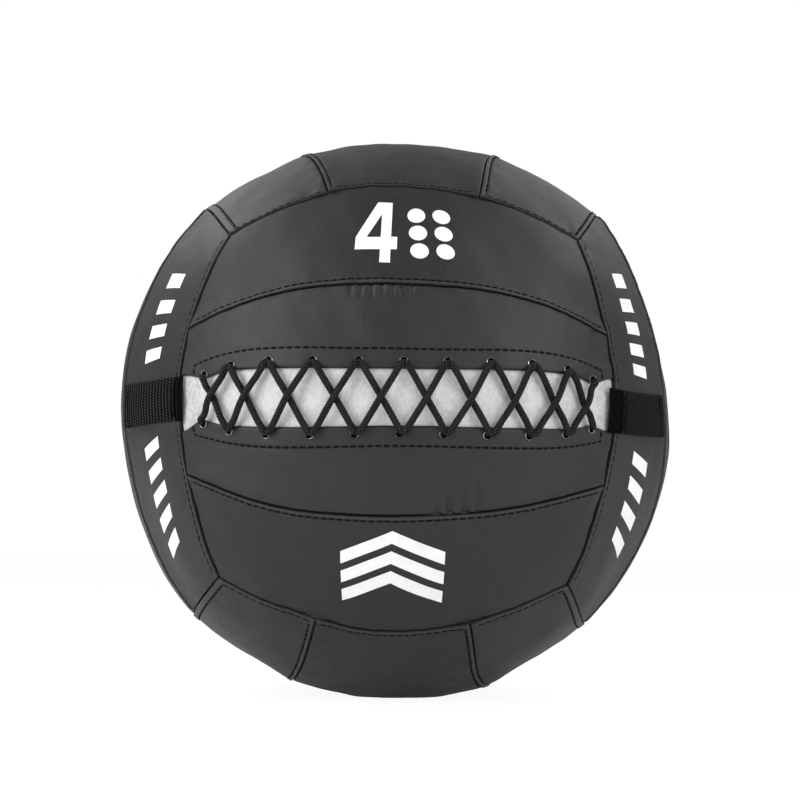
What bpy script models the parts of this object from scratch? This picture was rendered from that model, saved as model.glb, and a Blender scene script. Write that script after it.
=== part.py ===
"""Soft wall ball for throwing and catching, as separate sewn, punched and laced pieces.

Three strips of skin cover each side of the ball as on a volleyball. The middle strip of the front is split
into two flaps over a pale tongue, with a row of eyelets in each and two laces that cross over the opening.
Inside are padding, a liner bag, filling and a pouch of ballast. Metres, +Z up, the laced front faces -Y,
and the ball rests on the flat at z = 0.
"""

import math

import bmesh
import bpy
from mathutils import Matrix, Vector

# The ball
BALL_RADIUS = 0.176  # centre to the middle of the front
HEIGHT_STRETCH = 0.0014  # added to the radius upwards, taken from it sideways
EDGE_RISE = 0.005  # extra radius halfway along an edge between two sides
UPPER_EDGE_GAIN = 0.0035  # how much more the upper edges rise than the lower ones
MIDDLE_STRIP_WIDTH = 0.131  # across the middle strip of each side, over the skin
SEAM_RISE = 0.0015  # height of the soft ridge along a seam between strips
SEAM_SPREAD = 0.012  # how far that ridge fades out on each side
SKIN_THICKNESS = 0.0016
SEAM_GAP = 0.0003  # between neighbouring strips
LAYER_GAP = 0.0004  # between layers that lie on each other
FACET_ROOM = 0.001  # room for the flats of the skin's mesh over the padding
REST_CUT = 0.0005  # depth of the flat that the ball rests on

# The closure in the front
OPENING_HEIGHT = 0.0312  # between the two flaps
OPENING_DIP = 0.0027  # how far each flap's edge is drawn in at its end eyelets
OPENING_DIP_SPREAD = 0.0098
TONGUE_MARGIN = 0.0074  # from a row of eyelets to the edge of the tongue
TONGUE_THICKNESS = 0.0012

# Eyelets
EYELETS_EACH_SIDE = 5  # on either side of the middle one, in each row
EYELET_END_MARGIN = 0.0218  # from the last eyelet to the end of the closure
END_PITCH_CUT = 0.0041  # how much nearer the last two eyelets of a row are to each other
EYELET_EDGE_MARGIN = 0.0055  # from a flap's edge to its row of eyelets
EYELET_ROW_DROP = 0.005  # how much nearer that line the end eyelets are
EYELET_ROW_POWER = 6  # how late in the row that drop comes
EYELET_BORE_RADIUS = 0.00195
EYELET_BARREL_RADIUS = 0.0023
EYELET_FLANGE_RADIUS = 0.0029
EYELET_LIP = 0.00035

# Laces
LACE_RADIUS = 0.00215
LACE_CROSSING_RADIUS = 0.00195  # where one lace presses on the other
LACE_HIDDEN_RADIUS = 0.0016  # behind the tongue
LACE_SHOULDER_RADIUS = 0.0012  # beside an eyelet
LACE_BORE_RADIUS = 0.00075  # drawn thin inside an eyelet
LACE_SIDE = 0.0009  # from an eyelet's axis to the lace in its bore
LACE_KNOT_RADIUS = 0.0026
LACE_KNOT_SHOULDER_RADIUS = 0.0022
LACE_CLEARANCE = 0.0003

# Side tabs
TAB_WIDTH = 0.025
TAB_THICKNESS = 0.0014
TAB_ARCH = 0.0012  # how far a tab's middle stands off the skin

# Inside
PADDING_THICKNESS = 0.0082
WINDOW_MARGIN = 0.0028  # between the tongue and the window in the padding
LINER_THICKNESS = 0.0008
LINER_MOUTH_RADIUS = 0.03
BALLAST_RADIUS = 0.052
BALLAST_HALF_HEIGHT = 0.04
BALLAST_NECK_RADIUS = 0.009
BALLAST_NECK_HEIGHT = 0.016
BALLAST_BAG_THICKNESS = 0.0015

# How finely the pieces are cut into flats
STRIP_CELLS_ALONG = 12
OUTER_STRIP_CELLS_ACROSS = 3
MIDDLE_STRIP_CELLS_ACROSS = 5
REST_STRIP_CELLS_ALONG = 9
FLAP_CELLS_ACROSS = 3
TONGUE_CELLS_ACROSS = 4
CLOSURE_CELLS_PER_PITCH = 2
CLOSURE_CELLS_PER_END = 3
TAB_CELLS_ACROSS = 3
TAB_CELLS_ALONG = 8
EYELET_STEPS = 8
SHELL_MERIDIANS = 20
SHELL_RINGS = 12
POUCH_STEPS = 16
POUCH_RINGS = 8
LACE_BEVEL_RESOLUTION = 1
MERGE_DISTANCE = 0.00001

# Colour, roughness and metallic value of each material
BLACK_SKIN = ((0.045, 0.045, 0.047), 0.42, 0.0)
PALE_MESH = ((0.62, 0.63, 0.64), 0.75, 0.0)
BLACK_CORD = ((0.012, 0.012, 0.013), 0.7, 0.0)
BLACK_WEBBING = ((0.01, 0.01, 0.011), 0.8, 0.0)
PLATED_STEEL = ((0.6, 0.6, 0.6), 0.25, 1.0)
GREY_FOAM = ((0.28, 0.28, 0.29), 0.9, 0.0)
WHITE_COTTON = ((0.6, 0.58, 0.53), 0.9, 0.0)
MIXED_RAGS = ((0.34, 0.33, 0.36), 0.95, 0.0)
BROWN_CANVAS = ((0.3, 0.24, 0.17), 0.85, 0.0)
DRY_SAND = ((0.5, 0.41, 0.28), 0.95, 0.0)

QUARTER = math.pi / 4  # half the angle that one side of the ball spans
SHARP_ANGLE = math.radians(40)

# Each side of the ball: out of it, across its strips, and along them
SIDES = {
    "front": (Vector((0, -1, 0)), Vector((0, 0, 1)), Vector((-1, 0, 0))),
    "back": (Vector((0, 1, 0)), Vector((0, 0, 1)), Vector((1, 0, 0))),
    "top": (Vector((0, 0, 1)), Vector((1, 0, 0)), Vector((0, 1, 0))),
    "bottom": (Vector((0, 0, -1)), Vector((1, 0, 0)), Vector((0, -1, 0))),
    "left": (Vector((-1, 0, 0)), Vector((0, 1, 0)), Vector((0, 0, -1))),
    "right": (Vector((1, 0, 0)), Vector((0, 1, 0)), Vector((0, 0, 1))),
}

# The strips of each side, from the low end of its across direction
STRIPS = {
    "front": ("front_lower_strip", None, "front_upper_strip"),
    "back": ("back_lower_strip", "back_middle_strip", "back_upper_strip"),
    "top": ("top_left_strip", "top_middle_strip", "top_right_strip"),
    "bottom": ("bottom_left_strip", "bottom_middle_strip", "bottom_right_strip"),
    "left": ("left_front_strip", "left_middle_strip", "left_back_strip"),
    "right": ("right_front_strip", "right_middle_strip", "right_back_strip"),
}

CLOSURE_HALF_LENGTH = QUARTER * BALL_RADIUS
EYELET_ROW_HEIGHT = OPENING_HEIGHT / 2 + EYELET_EDGE_MARGIN
TONGUE_HALF_HEIGHT = EYELET_ROW_HEIGHT + TONGUE_MARGIN
EYELET_PITCH = (CLOSURE_HALF_LENGTH - EYELET_END_MARGIN + END_PITCH_CUT) / EYELETS_EACH_SIDE
CLOSURE_CELLS_ALONG = 2 * (CLOSURE_CELLS_PER_PITCH * EYELETS_EACH_SIDE + CLOSURE_CELLS_PER_END)
SEAM_ANGLE = MIDDLE_STRIP_WIDTH / 2 / BALL_RADIUS
HALF_GAP_ANGLE = SEAM_GAP / 2 / BALL_RADIUS
TONGUE_DEPTH = SKIN_THICKNESS + LAYER_GAP
EYELET_BACK_DEPTH = TONGUE_DEPTH + TONGUE_THICKNESS
PADDING_DEPTH = SKIN_THICKNESS + LAYER_GAP + FACET_ROOM
LINER_DEPTH = PADDING_DEPTH + PADDING_THICKNESS + LAYER_GAP
FILLING_DEPTH = LINER_DEPTH + LINER_THICKNESS + LAYER_GAP


def clear_scene():
    for obj in list(bpy.data.objects):
        bpy.data.objects.remove(obj, do_unlink=True)


def new_collection(name):
    collection = bpy.data.collections.new(name)
    bpy.context.scene.collection.children.link(collection)
    return collection


def finish(obj, look):
    """Gives an object its own plain material."""
    colour, roughness, metallic = look
    material = bpy.data.materials.new(obj.name + "_material")
    material.use_nodes = True
    shader = material.node_tree.nodes["Principled BSDF"]
    shader.inputs["Base Color"].default_value = (*colour, 1)
    shader.inputs["Roughness"].default_value = roughness
    shader.inputs["Metallic"].default_value = metallic
    material.diffuse_color = (*colour, 1)
    obj.data.materials.append(material)


def add_piece(name, data, look):
    """Adds a mesh or a curve as a piece of the ball, placed from its centre."""
    obj = bpy.data.objects.new(name, data)
    parts.objects.link(obj)
    obj.parent = centre
    if obj.type == "MESH":
        data.shade_smooth()
        data.set_sharp_from_angle(angle=SHARP_ANGLE)
    finish(obj, look)
    return obj


def add_cutter(name, bm):
    data = bpy.data.meshes.new(name)
    bm.to_mesh(data)
    bm.free()
    obj = bpy.data.objects.new(name, data)
    cutters.objects.link(obj)
    obj.parent = centre
    obj.hide_render = True
    obj.display_type = "WIRE"
    return obj


def cut(obj, cutter):
    boolean = obj.modifiers.new("cut_" + cutter.name, "BOOLEAN")
    boolean.operation = "DIFFERENCE"
    boolean.solver = "EXACT"
    boolean.object = cutter


def between(low, high, share):
    return low + (high - low) * share


def skin_radius(direction):
    """From the ball's centre to the outside of its skin, along a unit vector."""
    sizes = [abs(value) for value in direction]
    facing = sizes.index(max(sizes))
    edge_share = (1 - sizes[facing]) / (1 - math.cos(QUARTER))
    edge = EDGE_RISE + UPPER_EDGE_GAIN * direction.z
    across_angle = math.atan2(sizes[(facing + 1) % 3], sizes[facing])
    from_seam = (across_angle - SEAM_ANGLE) * BALL_RADIUS
    ridge = SEAM_RISE * math.exp(-((from_seam / SEAM_SPREAD) ** 2))
    stretch = HEIGHT_STRETCH * (direction.z**2 - direction.x**2)
    return BALL_RADIUS + stretch + edge * edge_share + ridge


def side_point(side, across_angle, along_angle, depth):
    """A point under the skin of one side, from its two angles off the middle of that side."""
    out, across, along = SIDES[side]
    direction = (out + across * math.tan(across_angle) + along * math.tan(along_angle)).normalized()
    return direction * (skin_radius(direction) - depth)


def front_point(along, height, lift):
    """A point over the skin, from the closure's middle: along it, up from it and out of it."""
    azimuth = along / BALL_RADIUS
    rise = math.asin(height / BALL_RADIUS)
    level = math.cos(rise)
    direction = Vector((math.sin(azimuth) * level, -math.cos(azimuth) * level, math.sin(rise)))
    return direction * (skin_radius(direction) + lift)


def sheet(name, cells_across, cells_along, place, thickness, look):
    """A closed sheet from a grid. place gives a point from two shares of the sheet and a depth."""
    bm = bmesh.new()
    bmesh.ops.create_grid(bm, x_segments=cells_across, y_segments=cells_along, size=1)
    outer = list(bm.verts)
    copied = bmesh.ops.extrude_face_region(bm, geom=bm.faces[:])["geom"]
    inner = [item for item in copied if isinstance(item, bmesh.types.BMVert)]
    for verts, depth in ((outer, 0), (inner, thickness)):
        for vert in verts:
            vert.co = place((vert.co.x + 1) / 2, (vert.co.y + 1) / 2, depth)
    bm.normal_update()
    bmesh.ops.recalc_face_normals(bm, faces=bm.faces[:])
    data = bpy.data.meshes.new(name)
    bm.to_mesh(data)
    bm.free()
    return add_piece(name, data, look)


def strip(name, side, low_angle, high_angle, cells_across, cells_along):
    """One strip of skin, between two seams of its side."""
    end_angle = QUARTER - HALF_GAP_ANGLE

    def place(across_share, along_share, depth):
        across_angle = between(low_angle + HALF_GAP_ANGLE, high_angle - HALF_GAP_ANGLE, across_share)
        along_angle = between(-end_angle, end_angle, along_share)
        return side_point(side, across_angle, along_angle, depth)

    return sheet(name, cells_across, cells_along, place, SKIN_THICKNESS, BLACK_SKIN)


def make_strips():
    """The strips of all six sides, but for the middle of the front. Returns the one the ball rests on."""
    limits = (-QUARTER, -SEAM_ANGLE, SEAM_ANGLE, QUARTER)
    cells_across = (OUTER_STRIP_CELLS_ACROSS, MIDDLE_STRIP_CELLS_ACROSS, OUTER_STRIP_CELLS_ACROSS)
    resting = None
    for side, names in STRIPS.items():
        for place, name in enumerate(names):
            if name is None:
                continue
            rests = name == "bottom_middle_strip"
            cells_along = REST_STRIP_CELLS_ALONG if rests else STRIP_CELLS_ALONG
            piece = strip(name, side, limits[place], limits[place + 1], cells_across[place], cells_along)
            if rests:
                resting = piece
    return resting


def rest_on_flat(piece):
    """Cuts the flat under the ball and lifts the ball's centre so that the flat is at z = 0."""
    lowest = min(vert.co.z for vert in piece.data.vertices)
    bm = bmesh.new()
    below = Matrix.Translation((0, 0, lowest + REST_CUT - BALL_RADIUS / 2))
    bmesh.ops.create_cube(bm, size=BALL_RADIUS, matrix=below)
    cut(piece, add_cutter("floor_cutter", bm))
    centre.location.z = -lowest - REST_CUT


def opening_half_height(along):
    """From the closure's middle line to a flap's edge, which dips in at the end eyelets."""
    from_end = (abs(along) - eyelet_place(EYELETS_EACH_SIDE)[0]) / OPENING_DIP_SPREAD
    return OPENING_HEIGHT / 2 - OPENING_DIP * math.exp(-(from_end**2))


def eyelet_place(number):
    """Along the closure and up from its middle line, for a number counted from the middle eyelet."""
    last_share = max(0, abs(number) - EYELETS_EACH_SIDE + 1)
    along = math.copysign(abs(number) * EYELET_PITCH - last_share * END_PITCH_CUT, number)
    drop = EYELET_ROW_DROP * (abs(number) / EYELETS_EACH_SIDE) ** EYELET_ROW_POWER
    return along, EYELET_ROW_HEIGHT - drop


def closure_along(share):
    """A place along the closure. Equal steps of share land on the eyelets and halfway between them."""
    cell = (share - 0.5) * CLOSURE_CELLS_ALONG
    number = cell / CLOSURE_CELLS_PER_PITCH
    past_eyelets = abs(number) - EYELETS_EACH_SIDE
    if past_eyelets <= 0:
        return eyelet_place(number)[0]
    end_share = past_eyelets * CLOSURE_CELLS_PER_PITCH / CLOSURE_CELLS_PER_END
    last = eyelet_place(EYELETS_EACH_SIDE)[0]
    return math.copysign(between(last, CLOSURE_HALF_LENGTH - SEAM_GAP / 2, end_share), number)


def eyelet_frame(number, row):
    """An eyelet's place on the skin and the turn that points its axis out of the ball."""
    along, height = eyelet_place(number)
    point = front_point(along, row * height, 0)
    outwards = point.to_track_quat("Z", "Y").to_matrix().to_4x4()
    half_step = Matrix.Rotation(math.pi / EYELET_STEPS, 4, "Z")
    return Matrix.Translation(point) @ outwards @ half_step


def make_flap(name, row):
    """One closure flap, from the seam to the opening. row is 1 above the opening and -1 below it."""

    def place(across_share, along_share, depth):
        along = closure_along(along_share)
        along_angle = along / BALL_RADIUS
        half_height = opening_half_height(along)
        edge_slope = math.tan(math.asin(half_height / BALL_RADIUS)) / math.cos(along_angle)
        across_angle = between(math.atan(edge_slope), SEAM_ANGLE - HALF_GAP_ANGLE, across_share)
        return side_point("front", row * across_angle, along_angle, depth)

    return sheet(name, FLAP_CELLS_ACROSS, CLOSURE_CELLS_ALONG, place, SKIN_THICKNESS, BLACK_SKIN)


def make_tongue():
    def place(across_share, along_share, depth):
        height = between(-TONGUE_HALF_HEIGHT, TONGUE_HALF_HEIGHT, across_share)
        return front_point(closure_along(along_share), height, -TONGUE_DEPTH - depth)

    return sheet("tongue", TONGUE_CELLS_ACROSS, CLOSURE_CELLS_ALONG, place, TONGUE_THICKNESS, PALE_MESH)


def make_punch(name, row):
    """The holes of one row of eyelets, as one cutter through a flap and the tongue."""
    bm = bmesh.new()
    hole_radius = EYELET_BARREL_RADIUS + LACE_CLEARANCE
    for number in range(-EYELETS_EACH_SIDE, EYELETS_EACH_SIDE + 1):
        bmesh.ops.create_cone(
            bm,
            cap_ends=True,
            segments=EYELET_STEPS,
            radius1=hole_radius,
            radius2=hole_radius,
            depth=EYELET_BACK_DEPTH * 4,
            matrix=eyelet_frame(number, row),
        )
    return add_cutter(name, bm)


def turned_mesh(name, profile, closed, steps):
    """A profile in the XZ plane turned about Z. Its outer side runs from the top down."""
    data = bpy.data.meshes.new(name)
    edges = [(index, index + 1) for index in range(len(profile) - 1)]
    if closed:
        edges.append((len(profile) - 1, 0))
    data.from_pydata([(radius, 0, height) for radius, height in profile], edges, [])
    guide = bpy.data.objects.new(name + "_guide", data)
    cutters.objects.link(guide)
    screw = guide.modifiers.new("turn", "SCREW")
    screw.steps = steps
    screw.render_steps = steps
    screw.use_merge_vertices = True
    screw.merge_threshold = MERGE_DISTANCE
    bpy.context.view_layer.update()
    graph = bpy.context.evaluated_depsgraph_get()
    turned = bpy.data.meshes.new_from_object(guide.evaluated_get(graph))
    turned.name = name
    bpy.data.objects.remove(guide, do_unlink=True)
    return turned


def make_eyelets():
    """Two rows of eyelets, each a barrel through flap and tongue with a lip on either side."""
    top = LAYER_GAP
    bottom = -EYELET_BACK_DEPTH - LAYER_GAP
    profile = [
        (EYELET_BORE_RADIUS, top + EYELET_LIP),
        (EYELET_FLANGE_RADIUS, top),
        (EYELET_BARREL_RADIUS, top),
        (EYELET_BARREL_RADIUS, bottom),
        (EYELET_FLANGE_RADIUS, bottom),
        (EYELET_BORE_RADIUS, bottom - EYELET_LIP),
    ]
    shape = turned_mesh("eyelet", profile, True, EYELET_STEPS)
    for row, word in ((1, "upper"), (-1, "lower")):
        for number in range(-EYELETS_EACH_SIDE, EYELETS_EACH_SIDE + 1):
            count = number + EYELETS_EACH_SIDE + 1
            eyelet = add_piece(f"eyelet_{word}_{count:02d}", shape.copy(), PLATED_STEEL)
            eyelet.matrix_basis = eyelet_frame(number, row)


def make_tab(name, hand):
    """A webbing tab over the strip beside the closure. hand is 1 on the right and -1 on the left."""
    start = QUARTER + HALF_GAP_ANGLE
    end = 2 * QUARTER - SEAM_ANGLE - HALF_GAP_ANGLE

    def place(across_share, along_share, depth):
        along = hand * between(start, end, along_share) * BALL_RADIUS
        height = between(-TAB_WIDTH / 2, TAB_WIDTH / 2, across_share)
        stand_off = LAYER_GAP + TAB_ARCH * math.sin(math.pi * along_share)
        return front_point(along, height, stand_off + TAB_THICKNESS - depth)

    return sheet(name, TAB_CELLS_ACROSS, TAB_CELLS_ALONG, place, TAB_THICKNESS, BLACK_WEBBING)


def mirrored(stations):
    """Stations of one half of a stretch, followed by the same ones in reverse for its other half."""
    return stations + [(1 - share, lift, radius) for share, lift, radius in reversed(stations[:-1])]


def stretch(first, last, stations, middle_share=0.5):
    """Route points from one place on the closure to another. A station is a share, a lift and a radius.

    The station at half way stands at middle_share, and the others follow it.
    """
    points = []
    for station_share, lift, radius in stations:
        if station_share < 0.5:
            share = between(0, middle_share, 2 * station_share)
        else:
            share = between(middle_share, 1, 2 * station_share - 1)
        along = between(first[0], last[0], share)
        height = between(first[1], last[1], share)
        points.append((front_point(along, height, lift), radius))
    return points


def lace_anchor(number, row, side):
    """Where a lace stands in an eyelet, on the side of its axis that side names."""
    along, height = eyelet_place(number)
    return along + side * LACE_SIDE, row * height


def over_stations(lifts_over):
    """A leg over the opening. It rises over the other lace or dips under it."""
    lip_top = LAYER_GAP + EYELET_LIP
    on_flap = LACE_RADIUS + LACE_CLEARANCE
    shoulder = lip_top + LACE_SHOULDER_RADIUS + LACE_CLEARANCE / 2
    under_lift = LACE_CROSSING_RADIUS + LACE_CLEARANCE - TONGUE_DEPTH
    over_lift = under_lift + 2 * LACE_CROSSING_RADIUS + LACE_CLEARANCE
    crossing = over_lift if lifts_over else under_lift
    return mirrored(
        [
            (0, -EYELET_BACK_DEPTH / 2, LACE_BORE_RADIUS),
            (0, lip_top + LACE_CLEARANCE, LACE_BORE_RADIUS),
            (0.03, shoulder + LACE_CLEARANCE, LACE_SHOULDER_RADIUS),
            (0.1, on_flap, LACE_RADIUS),
            (0.2, on_flap, LACE_RADIUS),
            (0.34, between(on_flap, crossing, 0.55), LACE_RADIUS),
            (0.5, crossing, LACE_CROSSING_RADIUS),
        ]
    )


def hidden_stations(deeper):
    """A leg behind the tongue. The two laces pass at different depths."""
    lip_bottom = EYELET_BACK_DEPTH + LAYER_GAP + EYELET_LIP
    near = lip_bottom + LACE_CLEARANCE + LACE_HIDDEN_RADIUS
    far = near + 2 * LACE_HIDDEN_RADIUS + LACE_CLEARANCE
    if deeper:
        turn = [
            (0, -near, LACE_BORE_RADIUS),
            (0.07, between(-near, -far, 0.8), LACE_SHOULDER_RADIUS),
            (0.2, -far, LACE_HIDDEN_RADIUS),
            (0.5, -far, LACE_HIDDEN_RADIUS),
        ]
    else:
        turn = [
            (0.04, between(-lip_bottom, -near, 0.7), LACE_BORE_RADIUS),
            (0.1, -near, LACE_SHOULDER_RADIUS),
            (0.2, -near, LACE_HIDDEN_RADIUS),
            (0.5, -near, LACE_HIDDEN_RADIUS),
        ]
    return mirrored([(0, -lip_bottom, LACE_BORE_RADIUS)] + turn)


def knot(anchor):
    """A stopper knot behind an eyelet, from its far end to the bore."""
    lip_bottom = EYELET_BACK_DEPTH + LAYER_GAP + EYELET_LIP
    middle = lip_bottom + LACE_CLEARANCE + LACE_KNOT_RADIUS
    stations = [
        (0, -middle - LACE_KNOT_RADIUS, LACE_SHOULDER_RADIUS),
        (0, -middle - LACE_KNOT_RADIUS / 2, LACE_KNOT_SHOULDER_RADIUS),
        (0, -middle, LACE_KNOT_RADIUS),
        (0, -middle + LACE_KNOT_RADIUS / 2, LACE_KNOT_SHOULDER_RADIUS),
        (0, -lip_bottom, LACE_BORE_RADIUS),
    ]
    return stretch(anchor, anchor, stations)


def make_lace(name, first_row, lifts_over):
    """A lace that crosses the opening from each eyelet to the next one of the other row.

    It starts on the left, in the row that first_row names, and comes back behind the tongue to that row.
    """
    route = knot(lace_anchor(-EYELETS_EACH_SIDE, first_row, 1))
    for number in range(-EYELETS_EACH_SIDE, EYELETS_EACH_SIDE):
        start = lace_anchor(number, first_row, 1)
        end = lace_anchor(number + 1, -first_row, -1)
        crossing_share = start[1] / (start[1] - end[1])
        route += stretch(start, end, over_stations(lifts_over), crossing_share)
        if number + 1 < EYELETS_EACH_SIDE:
            back = lace_anchor(number + 1, first_row, 1)
            route += stretch(end, back, hidden_stations(not lifts_over))
    route += reversed(knot(lace_anchor(EYELETS_EACH_SIDE, -first_row, -1)))
    data = bpy.data.curves.new(name, "CURVE")
    data.dimensions = "3D"
    data.bevel_depth = LACE_RADIUS
    data.bevel_resolution = LACE_BEVEL_RESOLUTION
    data.use_fill_caps = True
    data.twist_mode = "MINIMUM"
    spline = data.splines.new("POLY")
    spline.points.add(len(route) - 1)
    for point, (place, radius) in zip(spline.points, route):
        point.co = (*place, 1)
        point.radius = radius / LACE_RADIUS
    return add_piece(name, data, BLACK_CORD)


def shell_mesh(name, depth):
    """The ball's own form at a depth under its skin."""
    bm = bmesh.new()
    bmesh.ops.create_uvsphere(bm, u_segments=SHELL_MERIDIANS, v_segments=SHELL_RINGS, radius=1)
    for vert in bm.verts:
        direction = vert.co.normalized()
        vert.co = direction * (skin_radius(direction) - depth)
    data = bpy.data.meshes.new(name)
    bm.to_mesh(data)
    bm.free()
    return data


def thicken_inwards(obj, thickness):
    solidify = obj.modifiers.new("wall", "SOLIDIFY")
    solidify.thickness = thickness
    solidify.offset = -1


def make_padding():
    """Foam under the whole skin, with a window behind the closure."""
    padding = add_piece("padding", shell_mesh("padding", PADDING_DEPTH), GREY_FOAM)
    thicken_inwards(padding, PADDING_THICKNESS)
    window_width = 2 * (BALL_RADIUS * math.sin(QUARTER) + WINDOW_MARGIN)
    window_height = 2 * (TONGUE_HALF_HEIGHT + WINDOW_MARGIN)
    bm = bmesh.new()
    size = Matrix.Diagonal((window_width, BALL_RADIUS, window_height, 1))
    bmesh.ops.create_cube(bm, size=1, matrix=Matrix.Translation((0, -BALL_RADIUS, 0)) @ size)
    cut(padding, add_cutter("window_cutter", bm))


def make_liner():
    """The bag round the filling, with its mouth behind the closure."""
    liner = add_piece("liner_bag", shell_mesh("liner_bag", LINER_DEPTH), WHITE_COTTON)
    thicken_inwards(liner, LINER_THICKNESS)
    bm = bmesh.new()
    bmesh.ops.create_cone(
        bm,
        cap_ends=True,
        segments=POUCH_STEPS,
        radius1=LINER_MOUTH_RADIUS,
        radius2=LINER_MOUTH_RADIUS,
        depth=BALL_RADIUS,
        matrix=Matrix.Translation((0, -BALL_RADIUS, 0)) @ Matrix.Rotation(math.pi / 2, 4, "X"),
    )
    cut(liner, add_cutter("mouth_cutter", bm))


def pouch_side(grow):
    """Outer side of the ballast pouch from the foot of its neck down, grown by a clearance."""
    radius = BALLAST_RADIUS + grow
    half_height = BALLAST_HALF_HEIGHT + grow
    start = math.asin((BALLAST_NECK_RADIUS + grow) / radius)
    points = []
    for ring in range(POUCH_RINGS + 1):
        angle = between(start, math.pi, ring / POUCH_RINGS)
        points.append((radius * math.sin(angle) if ring < POUCH_RINGS else 0, half_height * math.cos(angle)))
    return points


def make_ballast():
    """A pouch of sand in the middle of the ball. Returns the room that the filling leaves for it."""
    neck_top = BALLAST_HALF_HEIGHT + BALLAST_NECK_HEIGHT
    outer = pouch_side(0)
    inner = pouch_side(-BALLAST_BAG_THICKNESS)
    neck_inner = BALLAST_NECK_RADIUS - BALLAST_BAG_THICKNESS
    bag = list(reversed(inner)) + [(neck_inner, neck_top), (BALLAST_NECK_RADIUS, neck_top)] + outer
    add_piece("ballast_bag", turned_mesh("ballast_bag", bag, False, POUCH_STEPS), BROWN_CANVAS)
    sand = pouch_side(-BALLAST_BAG_THICKNESS - LAYER_GAP)
    sand = [(0, sand[0][1])] + sand
    add_piece("ballast_sand", turned_mesh("ballast_sand", sand, False, POUCH_STEPS), DRY_SAND)
    room = pouch_side(LAYER_GAP)
    room_top = neck_top + LAYER_GAP
    room = [(0, room_top), (BALLAST_NECK_RADIUS + LAYER_GAP, room_top)] + room
    bm = bmesh.new()
    bm.from_mesh(turned_mesh("ballast_room", room, False, POUCH_STEPS))
    return add_cutter("ballast_room_cutter", bm)


def make_filling(name, half, room):
    """Half of the filling, which closes round the ballast. half is 1 for the upper and -1 for the lower."""
    data = shell_mesh(name, FILLING_DEPTH)
    bm = bmesh.new()
    bm.from_mesh(data)
    result = bmesh.ops.bisect_plane(
        bm,
        geom=bm.verts[:] + bm.edges[:] + bm.faces[:],
        plane_co=(0, 0, half * LAYER_GAP / 2),
        plane_no=(0, 0, -half),
        clear_outer=True,
    )
    rim = [item for item in result["geom_cut"] if isinstance(item, bmesh.types.BMEdge)]
    bmesh.ops.holes_fill(bm, edges=rim)
    bmesh.ops.recalc_face_normals(bm, faces=bm.faces[:])
    bm.to_mesh(data)
    bm.free()
    filling = add_piece(name, data, MIXED_RAGS)
    cut(filling, room)


clear_scene()
parts = new_collection("wall_ball")
cutters = new_collection("cutters")
centre = bpy.data.objects.new("ball_centre", None)
parts.objects.link(centre)

rest_on_flat(make_strips())
flap_upper = make_flap("closure_flap_upper", 1)
flap_lower = make_flap("closure_flap_lower", -1)
tongue = make_tongue()
punch_upper = make_punch("punch_upper", 1)
punch_lower = make_punch("punch_lower", -1)
cut(flap_upper, punch_upper)
cut(flap_lower, punch_lower)
cut(tongue, punch_upper)
cut(tongue, punch_lower)
make_eyelets()
make_lace("lace_rising", -1, True)
make_lace("lace_falling", 1, False)
make_tab("side_tab_left", -1)
make_tab("side_tab_right", 1)
make_padding()
make_liner()
ballast_room = make_ballast()
make_filling("filling_upper", 1, ballast_room)
make_filling("filling_lower", -1, ballast_room)
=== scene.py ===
"""Looks of the wall ball: skin with top-stitched seams, laced closure, webbing tabs and what is inside."""

import math

import bmesh
import bpy
import numpy as np
from mathutils import Matrix, Vector


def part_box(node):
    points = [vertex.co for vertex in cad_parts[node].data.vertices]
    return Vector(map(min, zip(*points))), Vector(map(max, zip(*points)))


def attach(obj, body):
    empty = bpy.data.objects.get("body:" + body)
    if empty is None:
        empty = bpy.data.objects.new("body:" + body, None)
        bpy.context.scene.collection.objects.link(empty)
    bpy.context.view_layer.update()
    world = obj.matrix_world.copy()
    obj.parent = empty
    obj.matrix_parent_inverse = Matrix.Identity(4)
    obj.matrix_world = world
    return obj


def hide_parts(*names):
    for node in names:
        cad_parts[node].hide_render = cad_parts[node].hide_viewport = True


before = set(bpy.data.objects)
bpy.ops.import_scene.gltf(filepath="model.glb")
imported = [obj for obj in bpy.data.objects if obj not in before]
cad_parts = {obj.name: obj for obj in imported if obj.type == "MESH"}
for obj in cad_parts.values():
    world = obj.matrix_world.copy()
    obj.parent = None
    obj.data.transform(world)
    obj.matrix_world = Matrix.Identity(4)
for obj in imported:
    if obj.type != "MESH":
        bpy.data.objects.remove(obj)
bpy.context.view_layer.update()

MM = 0.001

# The ball, as the solids have it
BALL_RADIUS = 0.176
HEIGHT_STRETCH = 0.0014
EDGE_RISE = 0.005
UPPER_EDGE_GAIN = 0.0035
MIDDLE_STRIP_WIDTH = 0.131
SEAM_RISE = 0.0015
SEAM_SPREAD = 0.012
SKIN_THICKNESS = 0.0016
LAYER_GAP = 0.0004
OPENING_HEIGHT = 0.0312
OPENING_DIP = 0.0027
OPENING_DIP_SPREAD = 0.0098
TONGUE_MARGIN = 0.0084
TONGUE_THICKNESS = 0.0012
EYELETS_EACH_SIDE = 5
EYELET_END_MARGIN = 0.0218
END_PITCH_CUT = 0.0041
SOLID_EYELET_MARGIN = 0.0055
EYELET_EDGE_MARGIN = 0.0045
EYELET_ROW_DROP = 0.005
EYELET_ROW_POWER = 6
TAB_WIDTH = 0.025
TAB_THICKNESS = 0.0014

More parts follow.
